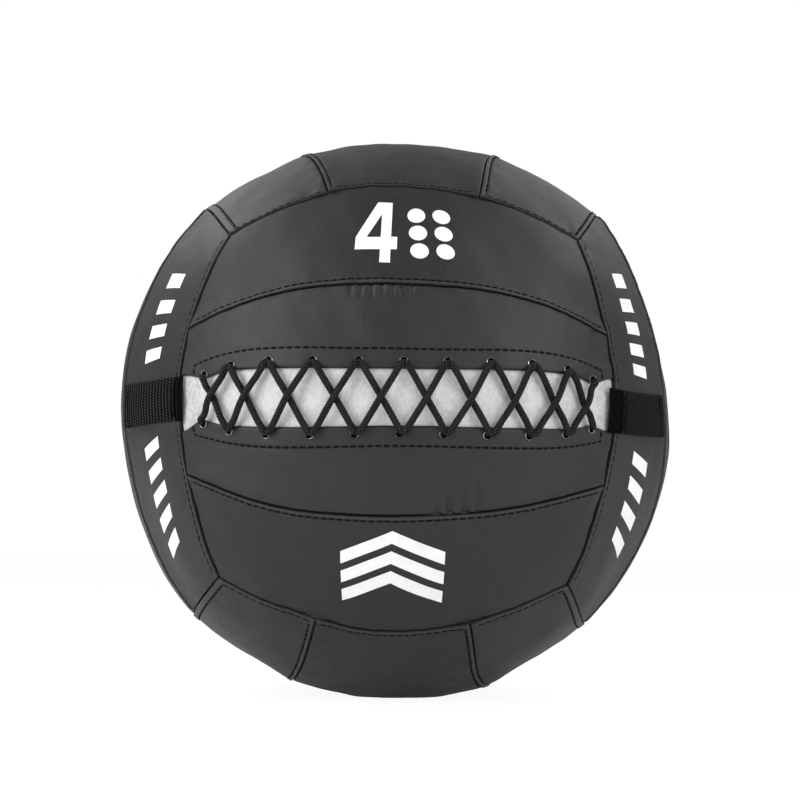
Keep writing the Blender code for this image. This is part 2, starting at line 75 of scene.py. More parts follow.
QUARTER = math.pi / 4
SEAM_ANGLE = MIDDLE_STRIP_WIDTH / 2 / BALL_RADIUS
SEAM_TANGENT = math.tan(SEAM_ANGLE)
CLOSURE_HALF_LENGTH = QUARTER * BALL_RADIUS
EYELET_ROW_HEIGHT = OPENING_HEIGHT / 2 + EYELET_EDGE_MARGIN
TONGUE_HALF_HEIGHT = EYELET_ROW_HEIGHT + TONGUE_MARGIN
EYELET_PITCH = (CLOSURE_HALF_LENGTH - EYELET_END_MARGIN + END_PITCH_CUT) / EYELETS_EACH_SIDE
TONGUE_DEPTH = SKIN_THICKNESS + LAYER_GAP
EYELET_BACK_DEPTH = TONGUE_DEPTH + TONGUE_THICKNESS

# Each side of the ball: its directions out, across its strips and along them
SIDES = {
    "front": ((0, -1, 0), (0, 0, 1), (-1, 0, 0)),
    "back": ((0, 1, 0), (0, 0, 1), (1, 0, 0)),
    "top": ((0, 0, 1), (1, 0, 0), (0, 1, 0)),
    "bottom": ((0, 0, -1), (1, 0, 0), (0, -1, 0)),
    "left": ((-1, 0, 0), (0, 1, 0), (0, 0, -1)),
    "right": ((1, 0, 0), (0, 1, 0), (0, 0, 1)),
}

# The photograph's view: a little below the ball's middle, rolled slightly
CAMERA_TURN = math.radians(-0.8)
CAMERA_RISE = math.radians(-3.0)
CAMERA_ROLL = math.radians(0.6)
CAMERA_DISTANCE = 1.35
FOCAL_PIXELS = 2083
PICTURE_PIXELS = 800
BALL_MIDDLE_PIXELS = (395.5, 421.2)


# Shapes in general

def smooth(values, low, high):
    """0 up to low and 1 from high on, with no kink."""
    share = np.clip((values - low) / (high - low), 0, 1)
    return share * share * (3 - 2 * share)


def bell(values, width):
    return np.exp(-((values / width) ** 2))


def between(low, high, share):
    return low + (high - low) * share


def unit(vectors):
    return vectors / np.linalg.norm(vectors, axis=-1, keepdims=True)


def turns(steps):
    """Angles of even steps round a circle."""
    return np.arange(steps) / steps * 2 * math.pi


def polar_direction(azimuth, rise):
    """A direction from degrees round the ball from its front and degrees up."""
    azimuth, rise = math.radians(azimuth), math.radians(rise)
    return np.array([math.sin(azimuth) * math.cos(rise), -math.cos(azimuth) * math.cos(rise), math.sin(rise)])


def level_axes(middles):
    """Directions to the right and up over the ball at a place or at many."""
    right = unit(np.stack([-middles[..., 1], middles[..., 0], np.zeros(middles.shape[:-1])], -1))
    return right, np.cross(middles, right)


def front_direction(along, height):
    """Directions to places on the closure: along it from its middle and up from its middle line."""
    azimuth = along / BALL_RADIUS
    rise = np.arcsin(height / BALL_RADIUS)
    level = np.cos(rise)
    return np.stack([np.sin(azimuth) * level, -np.cos(azimuth) * level, np.sin(rise)], -1)


def ball_centre():
    """The ball's centre is level with the middle of the closure, between the two middle eyelets."""
    heights = []
    for name in ("eyelet_upper_06", "eyelet_lower_06"):
        low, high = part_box(name)
        heights.append((low.z + high.z) / 2)
    return np.array([0, 0, sum(heights) / 2])


CENTRE = ball_centre()


def skin_radius(directions):
    """From the ball's centre to the outside of its plain skin, along unit vectors."""
    sizes = np.abs(directions)
    facing = sizes.argmax(-1)[..., None]
    largest = np.take_along_axis(sizes, facing, -1)[..., 0]
    following = np.take_along_axis(sizes, (facing + 1) % 3, -1)[..., 0]
    edge_share = (1 - largest) / (1 - math.cos(QUARTER))
    edge = EDGE_RISE + UPPER_EDGE_GAIN * directions[..., 2]
    from_seam = (np.arctan2(following, largest) - SEAM_ANGLE) * BALL_RADIUS
    stretch = HEIGHT_STRETCH * (directions[..., 2] ** 2 - directions[..., 0] ** 2)
    return BALL_RADIUS + stretch + edge * edge_share + SEAM_RISE * bell(from_seam, SEAM_SPREAD)


# How much fuller the sewn ball is than the plain one, round its outline every 12 degrees anticlockwise from
# its right as seen from the front, in millimetres. It fades out towards the front and back.
FULLNESS = (
    0.8, -1.1, -1.6, -0.4, 0.8, 0.4, 1.0, 0.3, 0.8, 0.5, -1.6, -1.8, 1.2, 2.8, 3.5,
    2.3, -0.2, -0.4, 0.7, 0.4, -0.1, 0.3, 0.8, 1.8, 1.4, -1.3, -0.8, -0.7, 0.8, 2.0,
)
FULLNESS_SPREAD = 0.5
FULLNESS_AXIS_FADE = 4


def fullness(directions):
    """The table as a smooth curve round the outline."""
    turn = np.degrees(np.arctan2(directions[..., 2], directions[..., 0])) % 360
    place = turn / (360 / len(FULLNESS))
    index = np.floor(place).astype(int)
    share = place - index
    table = np.array(FULLNESS)
    a, b, c, d = (table[(index + k) % len(FULLNESS)] for k in (-1, 0, 1, 2))
    curve = b + 0.5 * share * (c - a + share * (2 * a - 5 * b + 4 * c - d + share * (3 * (b - c) + d - a)))
    ahead = np.hypot(directions[..., 0], directions[..., 2])
    spread = bell(directions[..., 1], FULLNESS_SPREAD)
    return curve * MM * spread * np.minimum(ahead * FULLNESS_AXIS_FADE, 1)


# The eyelets' places

def eyelet_place(number, margin=EYELET_EDGE_MARGIN):
    """Along the closure and up from its middle line, from an eyelet's number counted from the middle one."""
    last_share = np.maximum(0, np.abs(number) - EYELETS_EACH_SIDE + 1)
    along = np.sign(number) * (np.abs(number) * EYELET_PITCH - last_share * END_PITCH_CUT)
    drop = EYELET_ROW_DROP * (np.abs(number) / EYELETS_EACH_SIDE) ** EYELET_ROW_POWER
    return along, OPENING_HEIGHT / 2 + margin - drop


EYELET_NUMBERS = np.arange(-EYELETS_EACH_SIDE, EYELETS_EACH_SIDE + 1).astype(float)


def eyelet_directions(row, margin=EYELET_EDGE_MARGIN):
    along, height = eyelet_place(EYELET_NUMBERS, margin)
    return front_direction(along, row * height)


EYELET_AXES = {row: eyelet_directions(row) for row in (1, -1)}


def eyelet_distance(directions):
    """To the nearest eyelet's axis."""
    axes = np.concatenate([EYELET_AXES[1], EYELET_AXES[-1]])
    nearest = np.full(directions.shape[:-1], 1.0)
    for axis in axes:
        nearest = np.minimum(nearest, np.linalg.norm(directions - axis, axis=-1))
    return nearest * BALL_RADIUS


# How the sewing has drawn the skin sideways. Seams, corners and eyelets were read in the photograph, and
# shifts round a few middles are worked out that bring the plain ball's to the same pixels.

VIEW_SCALE = 5.407
VIEW_CORNERS = {
    "upper_left": (110, 130),
    "upper_right": (400, 130),
    "lower_left": (110, 420),
    "lower_right": (400, 420),
}
SEAM_MARK_DEPTH = 1 * MM
FAR_SEAM_WEIGHT = 0.5
EYELET_WEIGHT = 1.6

# Each seam: its first and last direction over the plain ball, how many places on it are compared, how much it
# counts, and its points in pixels of quarters of the photograph enlarged by VIEW_SCALE
SEAM_LINES = (
    ((-1, -1, -0.97), (-1, -1, 0.97), 25, 1, {
        "upper_left": ((640, 545), (635, 590), (560, 720), (515, 800), (470, 960), (440, 1080), (415, 1180),
                       (400, 1300), (390, 1400)),
        "lower_left": ((385, 0), (405, 90), (425, 290), (460, 480), (500, 640), (560, 800), (585, 855)),
    }),
    ((1, -1, -0.97), (1, -1, 0.97), 25, 1, {
        "upper_right": ((975, 560), (1000, 700), (1060, 860), (1110, 1060), (1130, 1200), (1140, 1370)),
        "lower_right": ((1145, 70), (1110, 240), (1080, 390), (1040, 590), (970, 780), (915, 890)),
    }),
    ((-0.97, -1, 1), (0.97, -1, 1), 25, 1, {
        "upper_left": ((650, 575), (850, 470), (1000, 395), (1200, 330), (1400, 312), (1568, 314)),
        "upper_right": ((200, 325), (430, 365), (600, 425), (800, 515), (970, 605)),
    }),
    ((-0.97, -1, -1), (0.97, -1, -1), 25, 1, {
        "lower_left": ((585, 850), (700, 895), (900, 985), (1080, 1065), (1200, 1100), (1420, 1140),
                       (1568, 1130)),
        "lower_right": ((200, 1115), (350, 1105), (500, 1060), (700, 980), (860, 905), (905, 885)),
    }),
    ((-0.97, -1, SEAM_TANGENT), (0.97, -1, SEAM_TANGENT), 25, 1, {
        "upper_left": ((445, 1080), (600, 990), (800, 900), (1000, 865), (1200, 850), (1400, 838),
                       (1568, 837)),
        "upper_right": ((200, 845), (430, 865), (600, 905), (800, 965), (1000, 1050), (1120, 1120)),
    }),
    ((-0.97, -1, -SEAM_TANGENT), (0.97, -1, -SEAM_TANGENT), 25, 1, {
        "lower_left": ((430, 290), (600, 375), (800, 440), (1000, 480), (1200, 500), (1400, 515),
                       (1568, 520)),
        "lower_right": ((200, 515), (400, 495), (600, 468), (800, 438), (1000, 385), (1085, 345)),
    }),
    ((-SEAM_TANGENT, -0.3, 1), (-SEAM_TANGENT, -0.95, 1), 8, 1, {
        "upper_left": ((1070, 125), (1110, 190), (1180, 315)),
    }),
    ((SEAM_TANGENT, -0.3, 1), (SEAM_TANGENT, -0.95, 1), 8, 1, {"upper_right": ((480, 150), (430, 340))}),
    ((-SEAM_TANGENT, -0.3, -1), (-SEAM_TANGENT, -0.95, -1), 8, 1, {
        "lower_left": ((1110, 1110), (1005, 1410)),
    }),
    ((SEAM_TANGENT, -0.3, -1), (SEAM_TANGENT, -0.95, -1), 8, 1, {"lower_right": ((380, 1135), (435, 1445))}),
    ((-1, -0.5, 1), (-1, -0.97, 1), 6, 1, {"upper_left": ((530, 425), (640, 540))}),
    ((1, -0.5, 1), (1, -0.97, 1), 6, 1, {"upper_right": ((1065, 465), (975, 560))}),
    ((-1, -0.5, -1), (-1, -0.97, -1), 6, 1, {"lower_left": ((570, 890), (435, 1030))}),
    ((1, -0.5, -1), (1, -0.97, -1), 6, 1, {"lower_right": ((910, 920), (990, 1090))}),
    ((-1, -SEAM_TANGENT, -0.9), (-1, -SEAM_TANGENT, 0.9), 15, FAR_SEAM_WEIGHT, {
        "upper_left": ((470, 480), (330, 680), (190, 920), (110, 1160), (80, 1400)),
        "lower_left": ((75, 50), (110, 250), (190, 520), (300, 790), (430, 1020)),
    }),
    ((1, -SEAM_TANGENT, -0.9), (1, -SEAM_TANGENT, 0.9), 15, FAR_SEAM_WEIGHT, {
        "upper_right": ((1070, 465), (1180, 640), (1270, 830), (1350, 1070), (1400, 1270), (1440, 1500)),
        "lower_right": ((1430, 250), (1400, 440), (1300, 700), (1160, 910), (1000, 1080)),
    }),
)

# Where seams meet: direction over the plain ball and pixel
SEAM_MEETINGS = (
    ((-1, -1, 1), (228.6, 234.5)),
    ((1, -1, 1), (580, 238)),
    ((-1, -1, -1), (218.2, 578)),
    ((1, -1, -1), (568.8, 584.3)),
    ((-1, -1, SEAM_TANGENT), (191.8, 329.7)),
    ((1, -1, SEAM_TANGENT), (606.5, 336)),
    ((-1, -1, -SEAM_TANGENT), (189, 473.6)),
    ((1, -1, -SEAM_TANGENT), (600.7, 484)),
    ((-SEAM_TANGENT, -1, 1), (329.3, 190.5)),
    ((SEAM_TANGENT, -1, 1), (479.3, 196)),
    ((-SEAM_TANGENT, -1, -1), (314.5, 620)),
    ((SEAM_TANGENT, -1, -1), (468, 624.5)),
)

# The eyelets of the upper and lower row from the left, in pixels
EYELET_PIXELS = {
    1: (
        (201.5, 372.5), (231, 363), (271, 359), (312, 358.6), (357, 358.6), (403, 358.6),
        (447.6, 358.6), (491, 358.6), (531, 361.5), (568, 367), (594.6, 375.5),
    ),
    -1: (
        (201.5, 425), (228.7, 435), (266.8, 435), (308.6, 438.5), (353.4, 438), (397, 438.5),
        (445, 438), (487, 438), (527, 438), (563, 438), (597, 433),
    ),
}

# Middles of the shifts on the left of the ball and on its centre line. Those on the left are repeated on the
# right. Each shift fades out over WARP_SPREAD radians. WARP_STIFFNESS is how many pixels of miss weigh as
# much as one radian of shift.
WARP_SIDE_MIDDLES = (
    (-1, -1, 1), (-1, -1, -1), (-1, -1, 0), (-0.5, -1, 1), (-0.5, -1, -1), (-1, -1, 0.5), (-1, -1, -0.5),
    (-0.55, -1, 0.3), (-0.55, -1, -0.3), (-SEAM_TANGENT, -0.5, 1), (-SEAM_TANGENT, -0.5, -1), (-1, -0.3, 0),
    (-1, -0.3, 0.6), (-1, -0.3, -0.6), (-1, -0.5, 1), (-1, -0.5, -1), (-0.82, -1, 0),
)
WARP_CENTRE_MIDDLES = ((0, -1, 1), (0, -1, -1), (0, -1, 0.4), (0, -1, -0.4), (0, -1, 0))
WARP_SPREAD = 0.24
WARP_STIFFNESS = 57.3
WARP_ROUNDS = 7
WARP_STEP = 1e-5
MIDDLE_DIGITS = 1
SHIFT_DIGITS = 2
# Degrees that the closure's middle, the last of them all, goes further to the right and up, judged
CLOSURE_CORRECTION = (0.2, 0.25)


def camera_axes():
    """Directions to the right, up and back from the camera."""
    level = math.cos(CAMERA_RISE)
    back = np.array([math.sin(CAMERA_TURN) * level, -math.cos(CAMERA_TURN) * level, math.sin(CAMERA_RISE)])
    right = np.array([math.cos(CAMERA_TURN), math.sin(CAMERA_TURN), 0])
    up = np.cross(back, right)
    cosine, sine = math.cos(CAMERA_ROLL), math.sin(CAMERA_ROLL)
    return right * cosine + up * sine, up * cosine - right * sine, back


def pixels(points):
    """Where the camera sees points, which are given from the ball's centre."""
    right, up, back = camera_axes()
    away = CAMERA_DISTANCE - points @ back
    offsets = np.stack([points @ right, -(points @ up)], -1) / away[..., None]
    return np.array(BALL_MIDDLE_PIXELS) + FOCAL_PIXELS * offsets


def nearest_on(line, places):
    """The nearest points to places on a line of points, and the line's normals there."""
    runs = np.diff(line, axis=0)
    shares = np.clip(((places[:, None] - line[:-1]) * runs).sum(-1) / (runs**2).sum(-1), 0, 1)
    feet = line[:-1] + shares[..., None] * runs
    best = np.linalg.norm(places[:, None] - feet, axis=-1).argmin(1)
    run = unit(runs[best])
    return feet[np.arange(len(places)), best], np.stack([-run[:, 1], run[:, 0]], -1)


class Warp:
    """Sideways shifts of directions that bring the plain ball's marks to their pixels."""

    def __init__(self):
        sides = np.array(WARP_SIDE_MIDDLES, float)
        self.middles = unit(np.concatenate([sides, sides * (-1, 1, 1), np.array(WARP_CENTRE_MIDDLES, float)]))
        self.axes = level_axes(self.middles)
        self.shifts = np.zeros_like(self.middles)
        self.read_marks()
        self.fit()

    def read_marks(self):
        """Gathers what is compared: points on seams, then the places where seams meet and the eyelets."""
        self.seams = []
        directions = []
        for start, end, count, weight, views in SEAM_LINES:
            parts = [
                np.array(VIEW_CORNERS[name]) + np.array(line) / VIEW_SCALE
                for name, line in views.items()
            ]
            self.seams.append((np.concatenate(parts), count, weight))
            directions.append(unit(np.linspace(start, end, count)))
        seam_count = sum(count for _, count, _ in self.seams)
        meetings = unit(np.array([direction for direction, _ in SEAM_MEETINGS], float))
        eyelets = [eyelet_directions(row, SOLID_EYELET_MARGIN) for row in EYELET_PIXELS]
        self.directions = np.concatenate([*directions, meetings, *eyelets])
        sunk = np.where(np.arange(len(self.directions)) < seam_count, SEAM_MARK_DEPTH, 0)
        self.radius = (skin_radius(self.directions) - sunk)[:, None]
        self.near = self.nearness(self.directions)
        self.points = np.concatenate([[pixel for _, pixel in SEAM_MEETINGS], *EYELET_PIXELS.values()])
        self.weights = np.repeat([1, EYELET_WEIGHT], [len(meetings), 2 * len(EYELET_NUMBERS)])[:, None]

    def nearness(self, directions):
        offsets = directions[..., None, :] - self.middles
        return np.exp(-(offsets**2).sum(-1) / (2 * WARP_SPREAD**2))

    def shifts_from(self, amounts):
        """Shift vectors from radians to the right and up at each middle."""
        right, up = self.axes
        return amounts[::2, None] * right + amounts[1::2, None] * up

    def seen(self, amounts):
        return pixels(unit(self.directions + self.near @ self.shifts_from(amounts)) * self.radius)

    def targets(self, places):
        """For each seam place the nearest point of its seam in the photograph, and the weighted normal."""
        feet, normals, first = [], [], 0
        for line, count, weight in self.seams:
            foot, normal = nearest_on(line, places[first:first + count])
            feet.append(foot)
            normals.append(weight * normal)
            first += count
        return np.concatenate(feet), np.concatenate(normals)

    def misses(self, amounts, feet, normals):
        places = self.seen(amounts)
        off_seams = ((places[:len(feet)] - feet) * normals).sum(-1)
        off_points = (places[len(feet):] - self.points) * self.weights
        return np.concatenate([off_seams, off_points.ravel(), WARP_STIFFNESS * amounts])

    def fit(self):
        """Least squares by small steps. Seams may slide along themselves, and points may not."""
        amounts = np.zeros(2 * len(self.middles))
        for _ in range(WARP_ROUNDS):
            feet, normals = self.targets(self.seen(amounts))
            now = self.misses(amounts, feet, normals)
            moved = [self.misses(amounts + step, feet, normals) for step in WARP_STEP * np.eye(len(amounts))]
            slopes = (np.array(moved) - now).T / WARP_STEP
            amounts = amounts - np.linalg.lstsq(slopes, now, rcond=None)[0]
        self.round_off(amounts)

    def round_off(self, amounts):
        """Keeps the middles to a tenth of a degree and the shifts to a hundredth."""
        azimuths = np.arctan2(self.middles[:, 0], -self.middles[:, 1])
        places = np.degrees(np.stack([azimuths, np.arcsin(self.middles[:, 2])], -1))
        self.middles = np.array([polar_direction(*place) for place in np.round(places, MIDDLE_DIGITS)])
        self.axes = level_axes(self.middles)
        shifts = np.round(np.degrees(amounts), SHIFT_DIGITS)
        shifts[-2:] += CLOSURE_CORRECTION
        self.shifts = self.shifts_from(np.radians(shifts))

    def settle(self, directions):
        """Moves directions to where the sewing has drawn the skin."""
        moved = np.array(directions, float)
        for middle, shift in zip(self.middles, self.shifts):
            near = np.exp(-((directions - middle) ** 2).sum(-1) / (2 * WARP_SPREAD**2))
            moved += near[..., None] * shift
        return unit(moved)


settle = Warp().settle


def at(directions, lift):
    """Points over the plain skin, drawn sideways as it is sewn."""
    return CENTRE + settle(directions) * (skin_radius(directions) + fullness(directions) + lift)[..., None]


# Waves and folds in the skin

def wave_field(count, length, seed):
    """A smooth random field over the ball with waves of about one length."""
    source = np.random.default_rng(seed)
    waves = unit(source.normal(size=(count, 3))) * (2 * math.pi * BALL_RADIUS / length)
    waves *= source.uniform(0.7, 1.4, size=(count, 1))
    phases = source.uniform(0, 2 * math.pi, count)

    def field(directions):
        total = np.zeros(directions.shape[:-1])
        for wave, phase in zip(waves, phases):
            total += np.cos(directions @ wave + phase)
        return total * math.sqrt(2 / count)

    return field


SLACK_LENGTH = 60 * MM
SMALL_SLACK_LENGTH = 24 * MM
PUCKER_LENGTH = 11 * MM
slack_waves = wave_field(14, SLACK_LENGTH, 11)
small_waves = wave_field(18, SMALL_SLACK_LENGTH, 12)
pucker_waves = wave_field(24, PUCKER_LENGTH, 13)

# Folds by the seams: from and to (degrees round the ball from the front, degrees up), then depth and width in
# millimetres
FOLDS = (
    ((-10.2, 20.7), (-10.0, 18.4), -1.2, 1.2),
    ((-8.2, 20.9), (-8.1, 18.2), -1.5, 1.2),
    ((-6.2, 21.0), (-6.0, 18.0), -1.6, 1.3),
    ((-4.2, 21.1), (-4.0, 18.4), -1.4, 1.2),
    ((-2.2, 21.1), (-2.1, 18.2), -1.6, 1.2),
    ((-0.3, 21.1), (-0.2, 18.6), -1.3, 1.2),
    ((1.7, 21.1), (1.6, 18.4), -1.5, 1.2),
    ((8.5, -20.8), (7.9, -15.8), -1.4, 1.6),
    ((9.7, -20.6), (8.9, -15.2), 1.0, 1.6),
    ((10.9, -20.6), (9.8, -15.4), -1.5, 1.6),
    ((12.3, -20.5), (11.0, -15.2), 1.0, 1.6),
    ((13.7, -20.4), (12.2, -15.0), -1.5, 1.6),
    ((15.0, -20.2), (13.6, -15.4), 1.0, 1.6),
    ((16.2, -20.0), (14.9, -14.8), -1.3, 1.6),
    ((44.6, 36.9), (47.0, 41.6), -0.9, 1.4),
    ((45.6, 37.0), (49.0, 40.4), 0.5, 1.3),
    ((47.0, 35.2), (51.0, 33.6), 0.7, 1.2),
    ((46.9, 33.8), (50.2, 31.8), -0.6, 1.2),
    ((-45.6, 21.0), (-50.2, 21.8), -0.6, 1.2),
    ((-46.4, -5.6), (-52.0, -7.6), -0.8, 1.5),
)
FOLD_FADE = 0.7


def folds(directions):
    total = np.zeros(directions.shape[:-1])
    for start, end, depth, width in FOLDS:
        start, end = polar_direction(*start), polar_direction(*end)
        run = end - start
        share = np.clip((directions - start) @ run / (run @ run), 0, 1)
        away = np.linalg.norm(directions - start - share[..., None] * run, axis=-1) * BALL_RADIUS
        total += depth * MM * bell(away, width * MM) * (1 - share) ** FOLD_FADE
    return total


# The opening's edge

# How much further the opening gapes at its corners: row and hand, then millimetres
GAPES = {(1, -1): 1.0, (1, 1): 2.6, (-1, -1): 4.3, (-1, 1): 0.0}
GAPE_START = 4 * MM


def opening_half_height(along, row):
    last = eyelet_place(EYELETS_EACH_SIDE)[0]
    gape = np.where(along < 0, GAPES[row, -1], GAPES[row, 1]) * MM
    opened = gape * smooth(np.abs(along), last + GAPE_START, CLOSURE_HALF_LENGTH)
    return OPENING_HEIGHT / 2 - OPENING_DIP * bell(np.abs(along) - last, OPENING_DIP_SPREAD) + opened


def opening_edge(y, row):
    """Tangent of the angle across the front of a flap's edge, where the tangent along it is y."""
    along_angle = np.arctan(y)
    half_height = opening_half_height(-along_angle * BALL_RADIUS, row)
    return np.tan(np.arcsin(half_height / BALL_RADIUS)) / np.cos(along_angle)


# How the skin is sewn: one edge of each seam is turned under and stitched down over the other

# The strips of each side from the low end of its across direction. The numbers are for a strip's low, high,
# start and end edges: 0 where it goes under its neighbour, and the share of BAND_WIDTH that its turned edge
# takes where it lies over
STRIPS = {
    "front": (("front_lower_strip", (0, 1, 0, 0)), None, ("front_upper_strip", (1, 0, 0, 0))),
    "back": (
        ("back_lower_strip", (0, 1, 0, 0)),
        ("back_middle_strip", (0, 0, 0, 0)),
        ("back_upper_strip", (1, 0, 0, 0)),
    ),
    "top": (
        ("top_left_strip", (1.75, 0, 0.6, 1)),
        ("top_middle_strip", (1, 0, 0.6, 1)),
        ("top_right_strip", (1, 1, 0.6, 1)),
    ),
    "bottom": (
        ("bottom_left_strip", (1.5, 1, 0.6, 1)),
        ("bottom_middle_strip", (0, 1, 0.6, 1)),
        ("bottom_right_strip", (0, 1.5, 0.6, 1)),
    ),
    "left": (
        ("left_front_strip", (1.15, 0, 0, 0)),
        ("left_middle_strip", (1, 0, 0, 0)),
        ("left_back_strip", (1, 1, 0, 0)),
    ),
    "right": (
        ("right_front_strip", (1.15, 0, 0, 0)),
        ("right_middle_strip", (1, 0, 0, 0)),
        ("right_back_strip", (1, 1, 0, 0)),
    ),
}

BAND_WIDTH = 2.9 * MM
BAND_HEIGHT = 0.6 * MM
BAND_RISE = (-0.2 * MM, 0.7 * MM)
BAND_FALL_SHARE = 0.38
STITCH_INSET = 3.0 * MM
STITCH_DIP = 0.15 * MM
STITCH_DIP_WIDTH = 0.5 * MM
# How much painted shade darkens the skin along a line of stitches
STITCH_LINE_SHADE = 0.3
STITCH_SINK = 0.15 * MM
GROOVE_DEPTH = 1.9 * MM
GROOVE_WIDTH = 0.55 * MM
GROOVE_REACH = 0.4 * MM
GROOVE_SLOPE = 0.1 * MM
# Width of the painted shade right at a turned edge
EDGE_SHADE = 0.6 * MM
TUCK_DEPTH = 0.4 * MM
SINK_FADE = 4 * MM
STITCH_PUCKER_FADE = 5 * MM
TUCK_PUCKER_FADE = 6 * MM
SLACK = 0.3 * MM
SMALL_SLACK = 0.1 * MM
PUCKER = 0.13 * MM
HEM_ROUND = 0.6 * MM
HEM_ROUND_WIDTH = 1.1 * MM
HEM_SWELL = 0.1 * MM
HEM_SWELL_RISE = 1.5 * MM
HEM_SWELL_FALL = (2.5 * MM, 5 * MM)
HEM_CALM = 6 * MM
EYELET_DENT = 0.3 * MM
EYELET_DENT_SPREAD = 4.5 * MM
SKIN_BACK_DEPTH = 2.3 * MM
SEAM_ROOM = 0.15 * MM
TAB_BED_MARGIN = 1 * MM
TAB_BED_HALF = TAB_WIDTH / 2 + TAB_BED_MARGIN
TAB_BED_FADE = 3 * MM
REST_ROOM = 0.02 * MM
REST_BACK = 1 * MM

# How wide the shade in a seam is on the strip that goes under, and at the front's start and end edges
SHADE_WIDTH = 0.9 * MM
SHADE_WIDTHS = {("front", 2): 2.1 * MM, ("front", 3): 1.4 * MM}

# Rows of the skin's mesh from a seam inwards, and its cells beyond them
EDGE_ROWS = np.array([0, 0.25, 0.5, 0.8, 1.15, 1.5, 1.9, 2.3, 2.65, 2.95, 3.25, 3.6, 4.2, 5.2, 6.8, 9]) * MM
CELL_ACROSS = 2.6 * MM
CELL_ALONG = 1.9 * MM
PLACING_ROUNDS = 6


def stitch_inset(over):
    """From a turned edge to its line of stitches."""
    return STITCH_INSET - BAND_WIDTH + BAND_WIDTH * over


def steady(angle):
    """A long edge at one angle from its side's middle line."""
    return lambda y: np.full_like(y, math.tan(angle))


